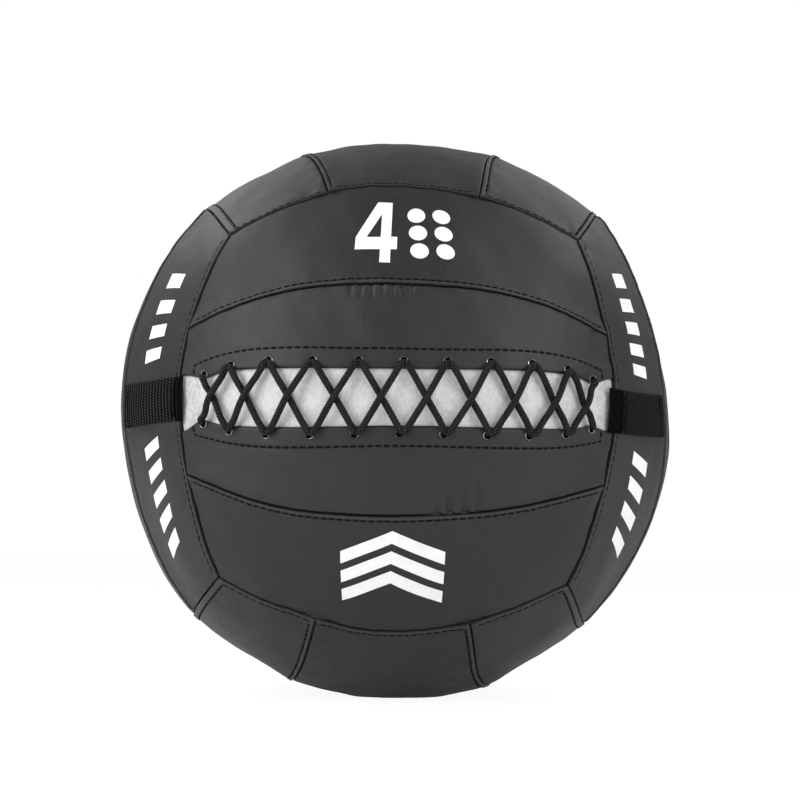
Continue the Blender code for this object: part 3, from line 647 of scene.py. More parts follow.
class Strip:
    """A strip of skin between two lines of its side.

    x and y are the tangents of the angles across and along the side. low and high give x of the two
    long edges from y, and over says which of the edges low, high, start and end lie over the neighbour.
    """

    def __init__(self, side, low, high, over, opening=None, bed=0):
        self.out, self.across, self.along = (np.array(axis, float) for axis in SIDES[side])
        self.shades = [SHADE_WIDTHS.get((side, index), SHADE_WIDTH) for index in range(4)]
        self.low, self.high, self.over = low, high, over
        self.opening = opening
        self.bed = bed

    def directions(self, x, y):
        return unit(self.out + x[..., None] * self.across + y[..., None] * self.along)

    def tangents(self, directions):
        ahead = directions @ self.out
        return directions @ self.across / ahead, directions @ self.along / ahead

    def spans(self, x, y):
        """The angles of both long edges and of the end, seen along the great circles through a place."""
        cross, run = np.sqrt(1 + y**2), np.sqrt(1 + x**2)
        return cross, run, np.arctan(self.low(y) / cross), np.arctan(self.high(y) / cross), np.arctan(1 / run)

    def distances(self, x, y):
        """To the low, high, start and end edges, over the skin."""
        cross, run, low, high, end = self.spans(x, y)
        here, there = np.arctan(x / cross), np.arctan(y / run)
        return [BALL_RADIUS * angle for angle in (here - low, high - here, there + end, end - there)]

    def places(self, rows, columns):
        """x and y of a grid whose rows and columns keep their distances to the edges."""
        row_share, row_offset = (part[:, None] for part in rows)
        column_share, column_offset = (part[None, :] for part in columns)
        x = np.zeros((len(row_share), column_share.shape[1]))
        y = np.tan(between(-QUARTER, QUARTER, column_share)) + x
        for _ in range(PLACING_ROUNDS):
            cross, _, low, high, _ = self.spans(x, y)
            x = cross * np.tan(between(low, high, row_share) + row_offset / BALL_RADIUS)
            _, run, _, _, end = self.spans(x, y)
            y = run * np.tan(between(-end, end, column_share) + column_offset / BALL_RADIUS)
        return x, y

    def band_share(self, distances):
        """0 on the plain skin, 1 on the crown of a turned and stitched edge."""
        open_share = np.ones_like(distances[0])
        for distance, over in zip(distances, self.over):
            if over:
                fall = 1 - smooth(distance, BAND_WIDTH * (over - BAND_FALL_SHARE), BAND_WIDTH * over)
                open_share = open_share * (1 - smooth(distance, *BAND_RISE) * fall)
        share = 1 - open_share
        for index, (distance, over) in enumerate(zip(distances, self.over)):
            if not over and index != self.opening:
                share = share * smooth(distance, 0, BAND_WIDTH)
        return share

    def edge_shape(self, index, distance, over):
        """How far one edge lifts its surroundings, how much it puckers them and how much painted shade it
        gives them.
        """
        if index == self.opening:
            swell = smooth(distance, 0, HEM_SWELL_RISE) * (1 - smooth(distance, *HEM_SWELL_FALL))
            return HEM_SWELL * swell - HEM_ROUND * (1 - smooth(distance, 0, HEM_ROUND_WIDTH)), 0, 0
        if not over:
            shade = self.shades[index]
            lift = -GROOVE_DEPTH * (1 - smooth(distance, -GROOVE_REACH, shade + GROOVE_SLOPE))
            lift -= TUCK_DEPTH * np.exp(-distance / SINK_FADE)
            # Painted shade: the strip that goes under is darkened in its groove, over its shade width.
            dark = 1 - smooth(distance, shade - SHADE_WIDTH, shade)
            return lift, np.exp(-distance / TUCK_PUCKER_FADE), dark
        beyond = distance - stitch_inset(over)
        line = bell(beyond, STITCH_DIP_WIDTH)
        lift = -GROOVE_DEPTH * (1 - smooth(distance, 0, GROOVE_WIDTH)) - STITCH_DIP * line
        sink = np.exp(-np.maximum(beyond, 0) / SINK_FADE) * smooth(beyond, -STITCH_INSET / 2, 0)
        lift -= STITCH_SINK * sink
        # Painted shade: a dark line along the stitches and right at the turned edge.
        dark = STITCH_LINE_SHADE * line + 1 - smooth(distance, 0, EDGE_SHADE)
        return lift, np.exp(-np.abs(beyond) / STITCH_PUCKER_FADE), dark

    def lift(self, x, y):
        """Height of the sewn surface over the plain one, how far it is on a turned edge, which is painted
        lighter, and how much painted shade it has.
        """
        directions = self.directions(x, y)
        distances = self.distances(x, y)
        share = self.band_share(distances)
        edges = [self.edge_shape(*edge) for edge in zip(range(4), distances, self.over)]
        sunk, pucker, dark = (sum(parts) for parts in zip(*edges))
        slack = SLACK * slack_waves(directions) + SMALL_SLACK * small_waves(directions)
        slack = slack + PUCKER * np.minimum(pucker, 1) * pucker_waves(directions) + folds(directions)
        if self.opening is not None:
            near = bell(eyelet_distance(directions), EYELET_DENT_SPREAD)
            slack = slack * (1 - near) - EYELET_DENT * near
            slack = slack * smooth(distances[self.opening], 0, HEM_CALM)
        lift = BAND_HEIGHT * share + np.maximum(sunk, -GROOVE_DEPTH) + slack
        if self.bed:
            lift = lift * smooth(np.abs(directions[..., 2]) * BALL_RADIUS, self.bed, self.bed + TAB_BED_FADE)
        return lift, share, np.minimum(dark, 1)

    def over_points(self, directions, height):
        """Points at a height over the sewn surface."""
        return at(directions, self.lift(*self.tangents(directions))[0] + height)


# Meshes

def edge_stations(length, cell):
    """Shares and offsets of the rows of a grid: close together at both edges and even in the middle."""
    rows = EDGE_ROWS + SEAM_ROOM
    cells = max(2, round((length - 2 * EDGE_ROWS[-1]) / cell))
    inner = np.arange(1, cells) / cells
    shares = np.concatenate([np.zeros(len(rows)), inner, np.ones(len(rows))])
    return shares, np.concatenate([rows, rows[-1] * (1 - 2 * inner), -rows[::-1]])


def grid_faces(rows, columns):
    index = np.arange(rows * columns).reshape(rows, columns)
    return np.stack([index[:-1, :-1], index[1:, :-1], index[1:, 1:], index[:-1, 1:]], -1).reshape(-1, 4)


def ring_walls(index):
    """Faces between rings of points that follow each other. The last axis of index goes round a ring."""
    following = np.roll(index, -1, axis=-1)
    corners = [index[..., :-1, :], following[..., :-1, :], following[..., 1:, :], index[..., 1:, :]]
    return np.stack(corners, -1).reshape(-1, 4)


def ring_offsets(angles, beside, up):
    return np.cos(angles)[:, None] * beside[..., None, :] + np.sin(angles)[:, None] * up[..., None, :]


def used_only(points_list, faces):
    """Drops the points that no face uses."""
    used = np.zeros(len(points_list[0]), bool)
    used[faces.ravel()] = True
    numbers = np.cumsum(used) - 1
    return [points[used] for points in points_list], numbers[faces]


def closed_shell(outer, inner, faces):
    """Points and faces of a closed thin piece from its outer and inner surfaces."""
    count = len(outer)
    starts = faces.ravel()
    ends = np.roll(faces, -1, axis=1).ravel()
    rim = ~np.isin(starts * count + ends, ends * count + starts)
    starts, ends = starts[rim], ends[rim]
    walls = np.stack([ends, starts, starts + count, ends + count], -1)
    everything = [*faces.tolist(), *(faces[:, ::-1] + count).tolist(), *walls.tolist()]
    a, b, c = (outer[faces[:, k]] for k in range(3))
    if (np.cross(b - a, c - a) * (a - inner[faces[:, 0]])).sum() <= 0:
        everything = [face[::-1] for face in everything]
    return np.concatenate([outer, inner]), everything


def add_mesh(name, points, faces, material, slot, smooth_angle=50, attributes=None, node=None, fill=None):
    """A mesh piece that rides on the ball and stands for a node of the solids. Its fill is not used."""
    mesh = bpy.data.meshes.new(name)
    mesh.from_pydata(np.asarray(points).tolist(), [], [list(face) for face in faces])
    mesh.shade_smooth()
    mesh.set_sharp_from_angle(angle=math.radians(smooth_angle))
    for key, values in (attributes or {}).items():
        layer = mesh.attributes.new(key, "FLOAT", "POINT")
        layer.data.foreach_set("value", np.asarray(values, np.float32).ravel())
    mesh.materials.append(material)
    piece = bpy.data.objects.new(name, mesh)
    bpy.context.scene.collection.objects.link(piece)
    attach(piece, "root")
    if node:
        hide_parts(node)
    return piece


# Materials

class Nodes:
    """Adds nodes to a tree and joins them. Where it takes an output it also takes a plain value."""

    def __init__(self, tree):
        self.tree = tree

    def add(self, kind, **settings):
        node = self.tree.nodes.new(kind)
        for key, value in settings.items():
            setattr(node, key, value)
        return node

    def feed(self, value, target):
        if isinstance(value, bpy.types.NodeSocket):
            self.tree.links.new(value, target)
        else:
            target.default_value = value

    def camera_share(self):
        """1 for camera rays and 0 for all others."""
        return self.add("ShaderNodeLightPath").outputs["Is Camera Ray"]

    def math(self, operation, *values):
        node = self.add("ShaderNodeMath", operation=operation)
        for value, target in zip(values, node.inputs):
            self.feed(value, target)
        return node.outputs[0]

    def weigh(self, first, share, second):
        """A share of the first value and the rest of the second."""
        return self.math("ADD", self.math("MULTIPLY", first, share), self.math("MULTIPLY", second, 1 - share))

    def spread(self, value, to_low, to_high, low=0.3, high=0.7):
        """Spreads a value's range from low to high over another range."""
        node = self.add("ShaderNodeMapRange")
        self.feed(value, node.inputs["Value"])
        for key, number in (("From Min", low), ("From Max", high), ("To Min", to_low), ("To Max", to_high)):
            node.inputs[key].default_value = number
        return node.outputs["Result"]

    def mix(self, share, first, second):
        """A mix of two colours."""
        node = self.add("ShaderNodeMix", data_type="RGBA")
        for value, index in ((share, 0), (first, 6), (second, 7)):
            self.feed(value, node.inputs[index])
        return node.outputs[2]


class Look(Nodes):
    """A Principled material whose colour, roughness and bump come from nodes."""

    def __init__(self, name, colour, roughness, metallic=0.0):
        self.material = bpy.data.materials.new(name)
        self.material.use_nodes = True
        super().__init__(self.material.node_tree)
        self.shader = self.tree.nodes["Principled BSDF"]
        self.shader.inputs["Base Color"].default_value = (*colour, 1)
        self.shader.inputs["Roughness"].default_value = roughness
        self.shader.inputs["Metallic"].default_value = metallic
        self.place = self.add("ShaderNodeTexCoord").outputs["Object"]

    def attribute(self, name):
        return self.add("ShaderNodeAttribute", attribute_name=name).outputs["Fac"]

    def slanted(self, degrees, stretch):
        """The place turned about the axis through the front and scaled along one direction."""
        node = self.add("ShaderNodeMapping")
        node.inputs["Rotation"].default_value = (0, math.radians(degrees), 0)
        node.inputs["Scale"].default_value = (1, 1, stretch)
        self.feed(self.place, node.inputs["Vector"])
        return node.outputs[0]

    def noise(self, size, detail, distortion=0.0, place=None):
        node = self.add("ShaderNodeTexNoise")
        self.feed(place or self.place, node.inputs["Vector"])
        node.inputs["Scale"].default_value = 1 / size
        node.inputs["Detail"].default_value = detail
        node.inputs["Distortion"].default_value = distortion
        return node.outputs["Fac"]

    def cells(self, size, place=None):
        node = self.add("ShaderNodeTexVoronoi", feature="F1")
        self.feed(place or self.place, node.inputs["Vector"])
        node.inputs["Scale"].default_value = 1 / size
        return node.outputs["Distance"]

    def ramp(self, value, *stops):
        """Colour from a value. Each stop is a place and a colour, or one number for a grey."""
        node = self.add("ShaderNodeValToRGB")
        self.feed(value, node.inputs["Fac"])
        elements = node.color_ramp.elements
        while len(elements) < len(stops):
            elements.new(0.5)
        for element, (place, colour) in zip(elements, stops):
            element.position = place
            element.color = (*colour, 1) if isinstance(colour, tuple) else (colour, colour, colour, 1)
        return node.outputs["Color"]

    def bump(self, height, distance, strength=1.0, normal=None):
        node = self.add("ShaderNodeBump")
        node.inputs["Strength"].default_value = strength
        node.inputs["Distance"].default_value = distance
        self.feed(height, node.inputs["Height"])
        if normal:
            self.feed(normal, node.inputs["Normal"])
        return node.outputs["Normal"]

    def dress(self, colour, roughness, normal):
        """Joins the three outputs to the shader and gives the material."""
        for name, output in (("Base Color", colour), ("Roughness", roughness), ("Normal", normal)):
            self.feed(output, self.shader.inputs[name])
        return self.material


SKIN_GRAIN_SIZE = 0.75 * MM
SKIN_HATCH_SIZE = 1.1 * MM
SKIN_FINE_SIZE = 0.35 * MM
SKIN_MOTTLE_SIZE = 3.2 * MM
SKIN_BROAD_SIZE = 45 * MM
SKIN_GRAIN_DEPTH = 0.05 * MM
SKIN_HATCH_DEPTH = 0.12 * MM
SKIN_FINE_DEPTH = 0.03 * MM
# How much of the lighter colour, a painted highlight, the crowns of the turned edges get
BAND_HIGHLIGHT_SHARE = 0.7


def skin_material():
    """Satin black coated fabric: fine grain, faint mottling, a painted highlight on the turned edges and
    painted shade in the seams.
    """
    look = Look("black_coated_fabric", (0.03, 0.03, 0.031), 0.45)
    grain = look.cells(SKIN_GRAIN_SIZE)
    fine = look.noise(SKIN_FINE_SIZE, 3)
    mottle = look.noise(SKIN_MOTTLE_SIZE, 4, 0.4)
    broad = look.noise(SKIN_BROAD_SIZE, 2)
    plain = look.ramp(mottle, (0.3, (0.0095, 0.0095, 0.0094)), (0.7, (0.0135, 0.0135, 0.0133)))
    # A lighter copy of the skin's colour: the painted highlight on the turned edges.
    light = look.ramp(mottle, (0.3, (0.024, 0.024, 0.0242)), (0.7, (0.032, 0.032, 0.0322)))
    # Near black: the painted shade in the seams' grooves and along their stitch lines.
    seam_shade = look.ramp(mottle, (0.3, 0.002), (0.7, 0.004))
    with_band_highlight = look.mix(look.math("MULTIPLY", look.attribute("band"), BAND_HIGHLIGHT_SHARE), plain, light)
    look.shader.inputs["Specular IOR Level"].default_value = 0.42
    hatch = look.noise(SKIN_HATCH_SIZE, 1, 0.0, look.slanted(40, 0.16))
    coarse = look.bump(grain, SKIN_GRAIN_DEPTH, 0.5, look.bump(hatch, SKIN_HATCH_DEPTH, 0.6))
    return look.dress(
        look.mix(look.attribute("dark"), with_band_highlight, seam_shade),
        look.spread(look.weigh(mottle, 0.5, broad), 0.47, 0.58, 0.35, 0.65),
        look.bump(fine, SKIN_FINE_DEPTH, 0.5, coarse),
    )


THREAD_PLY_SIZE = 0.3 * MM
THREAD_PLY_DEPTH = 0.06 * MM


def thread_material():
    look = Look("black_thread", (0.006, 0.006, 0.006), 0.7)
    look.shader.inputs["Specular IOR Level"].default_value = 0.08
    ply = look.noise(THREAD_PLY_SIZE, 2)
    colour = look.ramp(ply, (0.35, 0.003), (0.7, 0.008))
    return look.dress(colour, look.spread(ply, 0.6, 0.8), look.bump(ply, THREAD_PLY_DEPTH))


CORD_FIBRE_SIZE = 0.25 * MM
CORD_FIBRE_DEPTH = 0.08 * MM


def lace_material():
    """Black braided cord. The braid worked into the mesh also sets its colour: painted shade between the
    strands and a painted highlight on their crowns.
    """
    look = Look("black_braid", (0.015, 0.015, 0.016), 0.55)
    look.shader.inputs["Specular IOR Level"].default_value = 0.12
    fibre = look.noise(CORD_FIBRE_SIZE, 3)
    # Near black between the strands and grey on their crowns: painted shade and painted highlight.
    tone = look.weigh(look.attribute("strand"), 0.7, fibre)
    colour = look.ramp(tone, (0.42, 0.0006), (0.68, 0.009), (0.9, (0.06, 0.061, 0.061)))
    return look.dress(colour, look.spread(fibre, 0.5, 0.7), look.bump(fibre, CORD_FIBRE_DEPTH))


PEBBLE_SIZE = 1.5 * MM
TONGUE_FINE_SIZE = 0.4 * MM
TONGUE_BROAD_SIZE = 14 * MM
PEBBLE_DEPTH = 0.22 * MM
# How much painted shade darkens the tongue's ends
PAINTED_END_SHADE = 0.4


def tongue_material():
    """Pale grey fabric with a fine slanted pebble, with painted shade in the pebble's grooves and at both
    ends of the tongue.
    """
    look = Look("pale_pebbled_fabric", (0.7, 0.71, 0.715), 0.6)
    pebble = look.cells(PEBBLE_SIZE, look.slanted(-32, 0.55))
    fine = look.noise(TONGUE_FINE_SIZE, 2)
    broad = look.noise(TONGUE_BROAD_SIZE, 2)
    # Lighter on the pebbles and darker in the grooves between them, painted shade, mixed with a broad random
    # tone.
    tone = look.weigh(look.math("SUBTRACT", 1.0, pebble), 0.6, broad)
    # Painted shade: darker towards both ends of the tongue.
    tone = look.math("SUBTRACT", tone, look.math("MULTIPLY", look.attribute("end"), PAINTED_END_SHADE))
    colour = look.ramp(
        tone,
        (0.0, (0.45, 0.46, 0.465)),
        (0.25, (0.57, 0.58, 0.585)),
        (0.55, (0.66, 0.67, 0.673)),
        (0.85, (0.73, 0.74, 0.74)),
    )
    raised = look.math("ADD", look.math("MULTIPLY", pebble, -1.0), look.math("MULTIPLY", fine, 0.25))
    return look.dress(colour, look.spread(fine, 0.5, 0.7), look.bump(raised, PEBBLE_DEPTH, 0.7))


WEBBING_FIBRE_SIZE = 0.3 * MM
WEBBING_FIBRE_DEPTH = 0.12 * MM


def webbing_material():
    look = Look("black_webbing", (0.012, 0.012, 0.0125), 0.7)
    look.shader.inputs["Specular IOR Level"].default_value = 0.05
    fibre = look.noise(WEBBING_FIBRE_SIZE, 3)
    # The weave's relief also sets the colour: painted shade between the ribs and dots, a painted highlight on
    # their crowns, and near black painted shade on the smooth turned-under end.
    tone = look.weigh(look.attribute("rib"), 0.65, fibre)
    colour = look.ramp(tone, (0.35, 0.0006), (0.6, (0.006, 0.006, 0.0058)), (0.85, (0.055, 0.055, 0.053)))
    return look.dress(colour, look.spread(fibre, 0.6, 0.8), look.bump(fibre, WEBBING_FIBRE_DEPTH))


EYELET_WEAR_SIZE = 0.6 * MM
EYELET_WEAR_DEPTH = 0.03 * MM


def eyelet_material():
    look = Look("plated_steel", (0.5, 0.5, 0.51), 0.25, 1.0)
    wear = look.noise(EYELET_WEAR_SIZE, 3)
    colour = look.ramp(wear, (0.35, (0.1, 0.1, 0.102)), (0.7, (0.42, 0.42, 0.425)))
    return look.dress(colour, look.spread(wear, 0.16, 0.34), look.bump(wear, EYELET_WEAR_DEPTH, 0.5))


PRINT_PATCH_SIZE = 5 * MM
PRINT_GRAIN_DEPTH = 0.03 * MM


def print_material():
    look = Look("white_print", (0.86, 0.86, 0.86), 0.5)
    patch = look.noise(PRINT_PATCH_SIZE, 3)
    colour = look.ramp(patch, (0.3, (0.83, 0.83, 0.835)), (0.7, 0.89))
    grain = look.bump(look.cells(SKIN_GRAIN_SIZE), PRINT_GRAIN_DEPTH, 0.4)
    return look.dress(colour, look.spread(patch, 0.42, 0.58), grain)


# What is inside: darker and paler tone, size of the pattern, roughness and depth of the bump
STUFFINGS = {
    "grey_foam": ((0.2, 0.2, 0.21), (0.34, 0.34, 0.35), 1.2 * MM, 0.9, 0.3 * MM),
    "white_cotton": ((0.52, 0.5, 0.45), (0.66, 0.64, 0.59), 1 * MM, 0.9, 0.15 * MM),
    "mixed_fibre": ((0.16, 0.18, 0.24), (0.52, 0.48, 0.46), 12 * MM, 0.92, 0.8 * MM),
    "brown_canvas": ((0.2, 0.15, 0.1), (0.36, 0.29, 0.2), 1 * MM, 0.85, 0.2 * MM),
    "dry_sand": ((0.36, 0.28, 0.18), (0.62, 0.52, 0.37), 0.8 * MM, 0.92, 0.3 * MM),
}


def stuffing_material(name):
    """A rough material that varies between two tones."""
    dark, pale, size, roughness, depth = STUFFINGS[name]
    look = Look(name, pale, roughness)
    fine = look.noise(size / 6, 3)
    tone = look.weigh(look.noise(size, 5, 0.6), 0.65, fine)
    rough = look.spread(fine, roughness - 0.08, min(roughness + 0.06, 1))
    return look.dress(look.ramp(tone, (0.32, dark), (0.68, pale)), rough, look.bump(tone, depth))


SKIN = skin_material()
THREAD = thread_material()
BRAID = lace_material()
TONGUE = tongue_material()
WEBBING = webbing_material()
PLATED = eyelet_material()
PRINT = print_material()
FOAM, COTTON, RAGS, CANVAS, SAND = (stuffing_material(name) for name in STUFFINGS)


# The skin's strips and their stitches

STITCH_PITCH = 4.5 * MM
STITCH_LENGTH = 3.3 * MM
STITCH_RADIUS = 0.55 * MM
STITCH_SIDES = 6
# A stitch along its length: shares, and heights over the skin. Its ends go into the skin and are thinner.
STITCH_SHARES = np.array([0, 0.12, 0.5, 0.88, 1])
STITCH_HEIGHTS = np.array([-0.45, 0.2, 0.35, 0.2, -0.45]) * MM
STITCH_TAPER = ([0, 0.2, 0.8, 1], [0.6, 1, 1, 0.6])
STITCH_END_ROOM = 0.6 * MM
EDGE_LINE_STEPS = 241


def make_skin(name, strip, length_across):
    """One strip's skin, with its turned edges, grooves, waves and folds."""
    rows = edge_stations(length_across, CELL_ACROSS)
    columns = edge_stations(2 * CLOSURE_HALF_LENGTH, CELL_ALONG)
    x, y = strip.places(rows, columns)
    lift, share, dark = strip.lift(x, y)
    directions = strip.directions(x, y)
    outer = at(directions, lift).reshape(-1, 3)
    outer[:, 2] = np.maximum(outer[:, 2], REST_ROOM)
    inner = at(directions, np.full_like(x, -SKIN_BACK_DEPTH)).reshape(-1, 3)
    inner[:, 2] = np.maximum(inner[:, 2], REST_BACK)
    points, faces = closed_shell(outer, inner, grid_faces(*x.shape))
    inside = np.zeros(share.size)
    # band sets the turned edges' painted highlight, dark the painted shade in the seams.
    looks = {"band": np.concatenate([share.ravel(), inside]), "dark": np.concatenate([dark.ravel(), inside])}
    add_mesh(name + "_skin", points, faces, SKIN, "skin", attributes=looks, node=name, fill=0.95)


def stitch_tubes(centres, outwards):
    """Points and faces of short threads, from a few points along each and the directions off the skin."""
    count, steps, _ = centres.shape
    runs = unit(np.gradient(centres, axis=1))
    beside = unit(np.cross(runs, outwards))
    thickness = STITCH_RADIUS * np.interp(np.linspace(0, 1, steps), *STITCH_TAPER)
    ring = ring_offsets(turns(STITCH_SIDES), beside, np.cross(beside, runs))
    points = centres[:, :, None] + ring * thickness[None, :, None, None]
    index = np.arange(count * steps * STITCH_SIDES).reshape(count, steps, STITCH_SIDES)
    caps = [*index[:, 0, ::-1].tolist(), *index[:, -1].tolist()]
    return points.reshape(-1, 3), [*ring_walls(index).tolist(), *caps]


def stitches_along(directions, surface, pitch=STITCH_PITCH, length=STITCH_LENGTH):
    """Threads along a line of directions over the ball. surface gives points at heights over the skin."""
    steps = np.linalg.norm(np.diff(directions, axis=0), axis=1) * BALL_RADIUS
    travelled = np.concatenate([[0], np.cumsum(steps)])
    count = int((travelled[-1] - length) / pitch) + 1
    starts = (travelled[-1] - (count - 1) * pitch - length) / 2 + np.arange(count) * pitch
    stations = starts[:, None] + STITCH_SHARES[None, :] * length
    places = unit(np.stack([np.interp(stations, travelled, directions[:, k]) for k in range(3)], -1))
    centres = surface(places.reshape(-1, 3), np.tile(STITCH_HEIGHTS, count))
    return centres.reshape(count, len(STITCH_SHARES), 3), places


def edge_line(strip, edge):
    """Directions along the stitch line of one edge of a strip: 0 low, 1 high, 2 start and 3 end."""
    many = np.linspace(0, 1, EDGE_LINE_STEPS)
    at_high = edge % 2
    inset = stitch_inset(strip.over[edge])
    fixed = (np.array([float(at_high)]), np.array([-inset if at_high else inset]))
    free = (many, (STITCH_INSET + STITCH_END_ROOM) * (1 - 2 * many))
    rows, columns = (fixed, free) if edge < 2 else (free, fixed)
    return strip.directions(*strip.places(rows, columns)).reshape(-1, 3)


def join_threads(name, runs):
    centres, outwards = (np.concatenate(parts) for parts in zip(*runs))
    add_mesh(name, *stitch_tubes(centres, outwards), THREAD, "thread", 80)


def clear_of_tab(run, strip):
    """Leaves out the stitches under a tab."""
    centres, places = run
    keep = np.abs(places[:, 2, 2]) * BALL_RADIUS > strip.bed
    return centres[keep], places[keep]


def make_side(side):
    """The strips of one side, apart from the closure's, and the stitches along their turned edges."""
    limits = (-QUARTER, -SEAM_ANGLE, SEAM_ANGLE, QUARTER)
    runs = []
    for low, high, entry in zip(limits, limits[1:], STRIPS[side]):
        if not entry:
            continue
        name, over = entry
        bed = TAB_BED_HALF if name in ("left_front_strip", "right_front_strip") else 0
        strips[name] = Strip(side, steady(low), steady(high), over, bed=bed)
        make_skin(name, strips[name], (high - low) * BALL_RADIUS)
        for edge in range(4):
            if over[edge]:
                run = stitches_along(edge_line(strips[name], edge), strips[name].over_points)
                runs.append(clear_of_tab(run, strips[name]) if bed else run)
    if runs:
        join_threads(f"{side}_stitches", runs)


strips = {}
for side in STRIPS:
    make_side(side)


# The closure's flaps

HOLE_RADIUS = 2.5 * MM
LEAST_DISTANCE = 1e-9
# Rows of a flap's mesh from the opening's edge inwards, and its cells beyond them
FLAP_ROWS = [0, 0.2, 0.45, 0.75, 1.1, 1.6, 2.2, 3, 3.8, 4.6, 5.4, 6.2, 7, 7.8, 8.6, 9.6, 10.4, 11, 11.6, 12.6]
FLAP_CELL_ACROSS = 2.5 * MM
FLAP_CELL_ALONG = 1 * MM
HEM_RISE = 0.22 * MM
HEM_RISE_LENGTH = 2 * MM
HEM_FALL = (-0.3 * MM, 0.5 * MM)
OPENING_STITCH_HEIGHT = 26.8 * MM
OPENING_STITCH_END = 125.5 * MM
OPENING_STITCH_DROP = 4.8 * MM
OPENING_STITCH_CURVE = 48 * MM
OPENING_STITCH_FOOT = 1 * MM
OPENING_STITCH_SINK = 0.3 * MM
OPENING_STITCH_WIDTH = 0.6 * MM
# Heights between which the flap's back goes from the thin hem to the depth of the other strips
FLAP_BACK_HEIGHTS = (31 * MM, 38 * MM)
FLAP_LEAST_THICKNESS = 0.4 * MM
FLAP_EDGE_THICKNESS = 0.9 * MM
LINE_END_STEPS = 8
LINE_STEPS = 240


def punch(directions, points, faces, axes, radius):
    """Opens holes round eyelet axes: drops the faces inside them and draws the rest back to a circle."""
    nearest = np.full(len(points), 1.0)
    outwards = np.zeros_like(points)
    for axis in axes:
        offset = (directions - axis) * BALL_RADIUS
        offset -= (offset @ axis)[:, None] * axis
        distance = np.linalg.norm(offset, axis=1)
        closer = distance < nearest
        nearest[closer] = distance[closer]
        outwards[closer] = offset[closer] / np.maximum(distance[closer], LEAST_DISTANCE)[:, None]
    inside = nearest < radius
    shift = np.where(inside, radius - nearest, 0)[:, None] * outwards
    return shift, faces[~inside[faces].all(1)]


def flap_stations(row):
    """Shares and offsets of a flap's rows: close together at the opening and at the seam."""
    opening_rows = np.array(FLAP_ROWS) * MM + SEAM_ROOM
    seam_rows = EDGE_ROWS + SEAM_ROOM
    width = SEAM_ANGLE * BALL_RADIUS - OPENING_HEIGHT / 2
    cells = round((width - FLAP_ROWS[-1] * MM - EDGE_ROWS[-1]) / FLAP_CELL_ACROSS)
    inner = np.arange(1, cells) / cells
    shares = np.concatenate([np.zeros(len(opening_rows)), inner, np.ones(len(seam_rows))])
    inner_offsets = between(opening_rows[-1], -seam_rows[-1], inner)
    offsets = np.concatenate([opening_rows, inner_offsets, -seam_rows[::-1]])
    return (shares, offsets) if row > 0 else (1 - shares[::-1], -offsets[::-1])


def make_flap(name, row):
    """One flap of the closure, with its turned edge at the opening and its row of holes."""
    seam = steady(row * SEAM_ANGLE)

    def edge(y):
        return row * opening_edge(y, row)

    low, high = (edge, seam) if row > 0 else (seam, edge)
    strip = Strip("front", low, high, (0, 0, 0, 0), opening=0 if row > 0 else 1)
    x, y = strip.places(flap_stations(row), edge_stations(2 * CLOSURE_HALF_LENGTH, FLAP_CELL_ALONG))
    lift, share, dark = strip.lift(x, y)
    directions = strip.directions(x, y)
    height = np.abs(directions[..., 2]) * BALL_RADIUS
    above_stitches = height - OPENING_STITCH_HEIGHT
    hem = smooth(height, OPENING_HEIGHT / 2, OPENING_HEIGHT / 2 + HEM_RISE_LENGTH)
    lift = lift + HEM_RISE * (1 - smooth(above_stitches, *HEM_FALL)) * hem
    lift = lift - OPENING_STITCH_SINK * bell(above_stitches, OPENING_STITCH_WIDTH)
    back = between(-SKIN_THICKNESS, -SKIN_BACK_DEPTH, smooth(height, *FLAP_BACK_HEIGHTS))
    back = np.minimum(back, lift - FLAP_LEAST_THICKNESS)
    at_edge = strip.distances(x, y)[strip.opening] < FLAP_EDGE_THICKNESS
    back = np.where(at_edge, np.maximum(back, lift - FLAP_EDGE_THICKNESS), back)
    outer, inner = at(directions, lift).reshape(-1, 3), at(directions, back).reshape(-1, 3)
    flat_directions, faces = directions.reshape(-1, 3), grid_faces(*x.shape)
    shift, faces = punch(flat_directions, outer, faces, EYELET_AXES[row], HOLE_RADIUS)
    layers = [outer + shift, inner + shift, share.ravel(), dark.ravel()]
    (outer, inner, band, dark), faces = used_only(layers, faces)
    points, faces = closed_shell(outer, inner, faces)
    # band sets the turned edges' painted highlight, dark the painted shade in the seams.
    looks = {"band": np.tile(band, 2), "dark": np.tile(dark, 2)}
    add_mesh(name + "_skin", points, faces, SKIN, "skin", attributes=looks, node=name, fill=0.9)
    return strip


def opening_stitch_line(row):
    """Directions along the stitches round the opening: along the flap, and down to its edge at the ends."""
    end = OPENING_STITCH_END
    middle = np.linspace(-end, end, LINE_STEPS)[1:-1]
    along = np.concatenate([np.full(LINE_END_STEPS, -end), middle, np.full(LINE_END_STEPS, end)])
    corner = OPENING_STITCH_HEIGHT - OPENING_STITCH_DROP
    from_end = np.clip((end - np.abs(along)) / OPENING_STITCH_CURVE, 0, 1)
    height = corner + OPENING_STITCH_DROP * (1 - (1 - from_end) ** 2)
    feet = opening_half_height(np.array([-end, end]), row) + OPENING_STITCH_FOOT
    shares = np.linspace(0, 1, LINE_END_STEPS)
    height[:LINE_END_STEPS] = between(feet[0], corner, shares)
    height[-LINE_END_STEPS:] = between(corner, feet[1], shares)
    return front_direction(along, row * height)


for row, word in ((1, "upper"), (-1, "lower")):
    flap = make_flap(f"closure_flap_{word}", row)
    join_threads(f"opening_stitches_{word}", [stitches_along(opening_stitch_line(row), flap.over_points)])


# The tongue

TONGUE_CELL = 0.9 * MM
TONGUE_ROOM = 0.05 * MM
TONGUE_BULGE_HEIGHT = 11 * MM
TONGUE_BULGE_MARGIN = 1 * MM
LACE_PRESS = 0.2 * MM
LACE_PRESS_SPREAD = 3.2 * MM
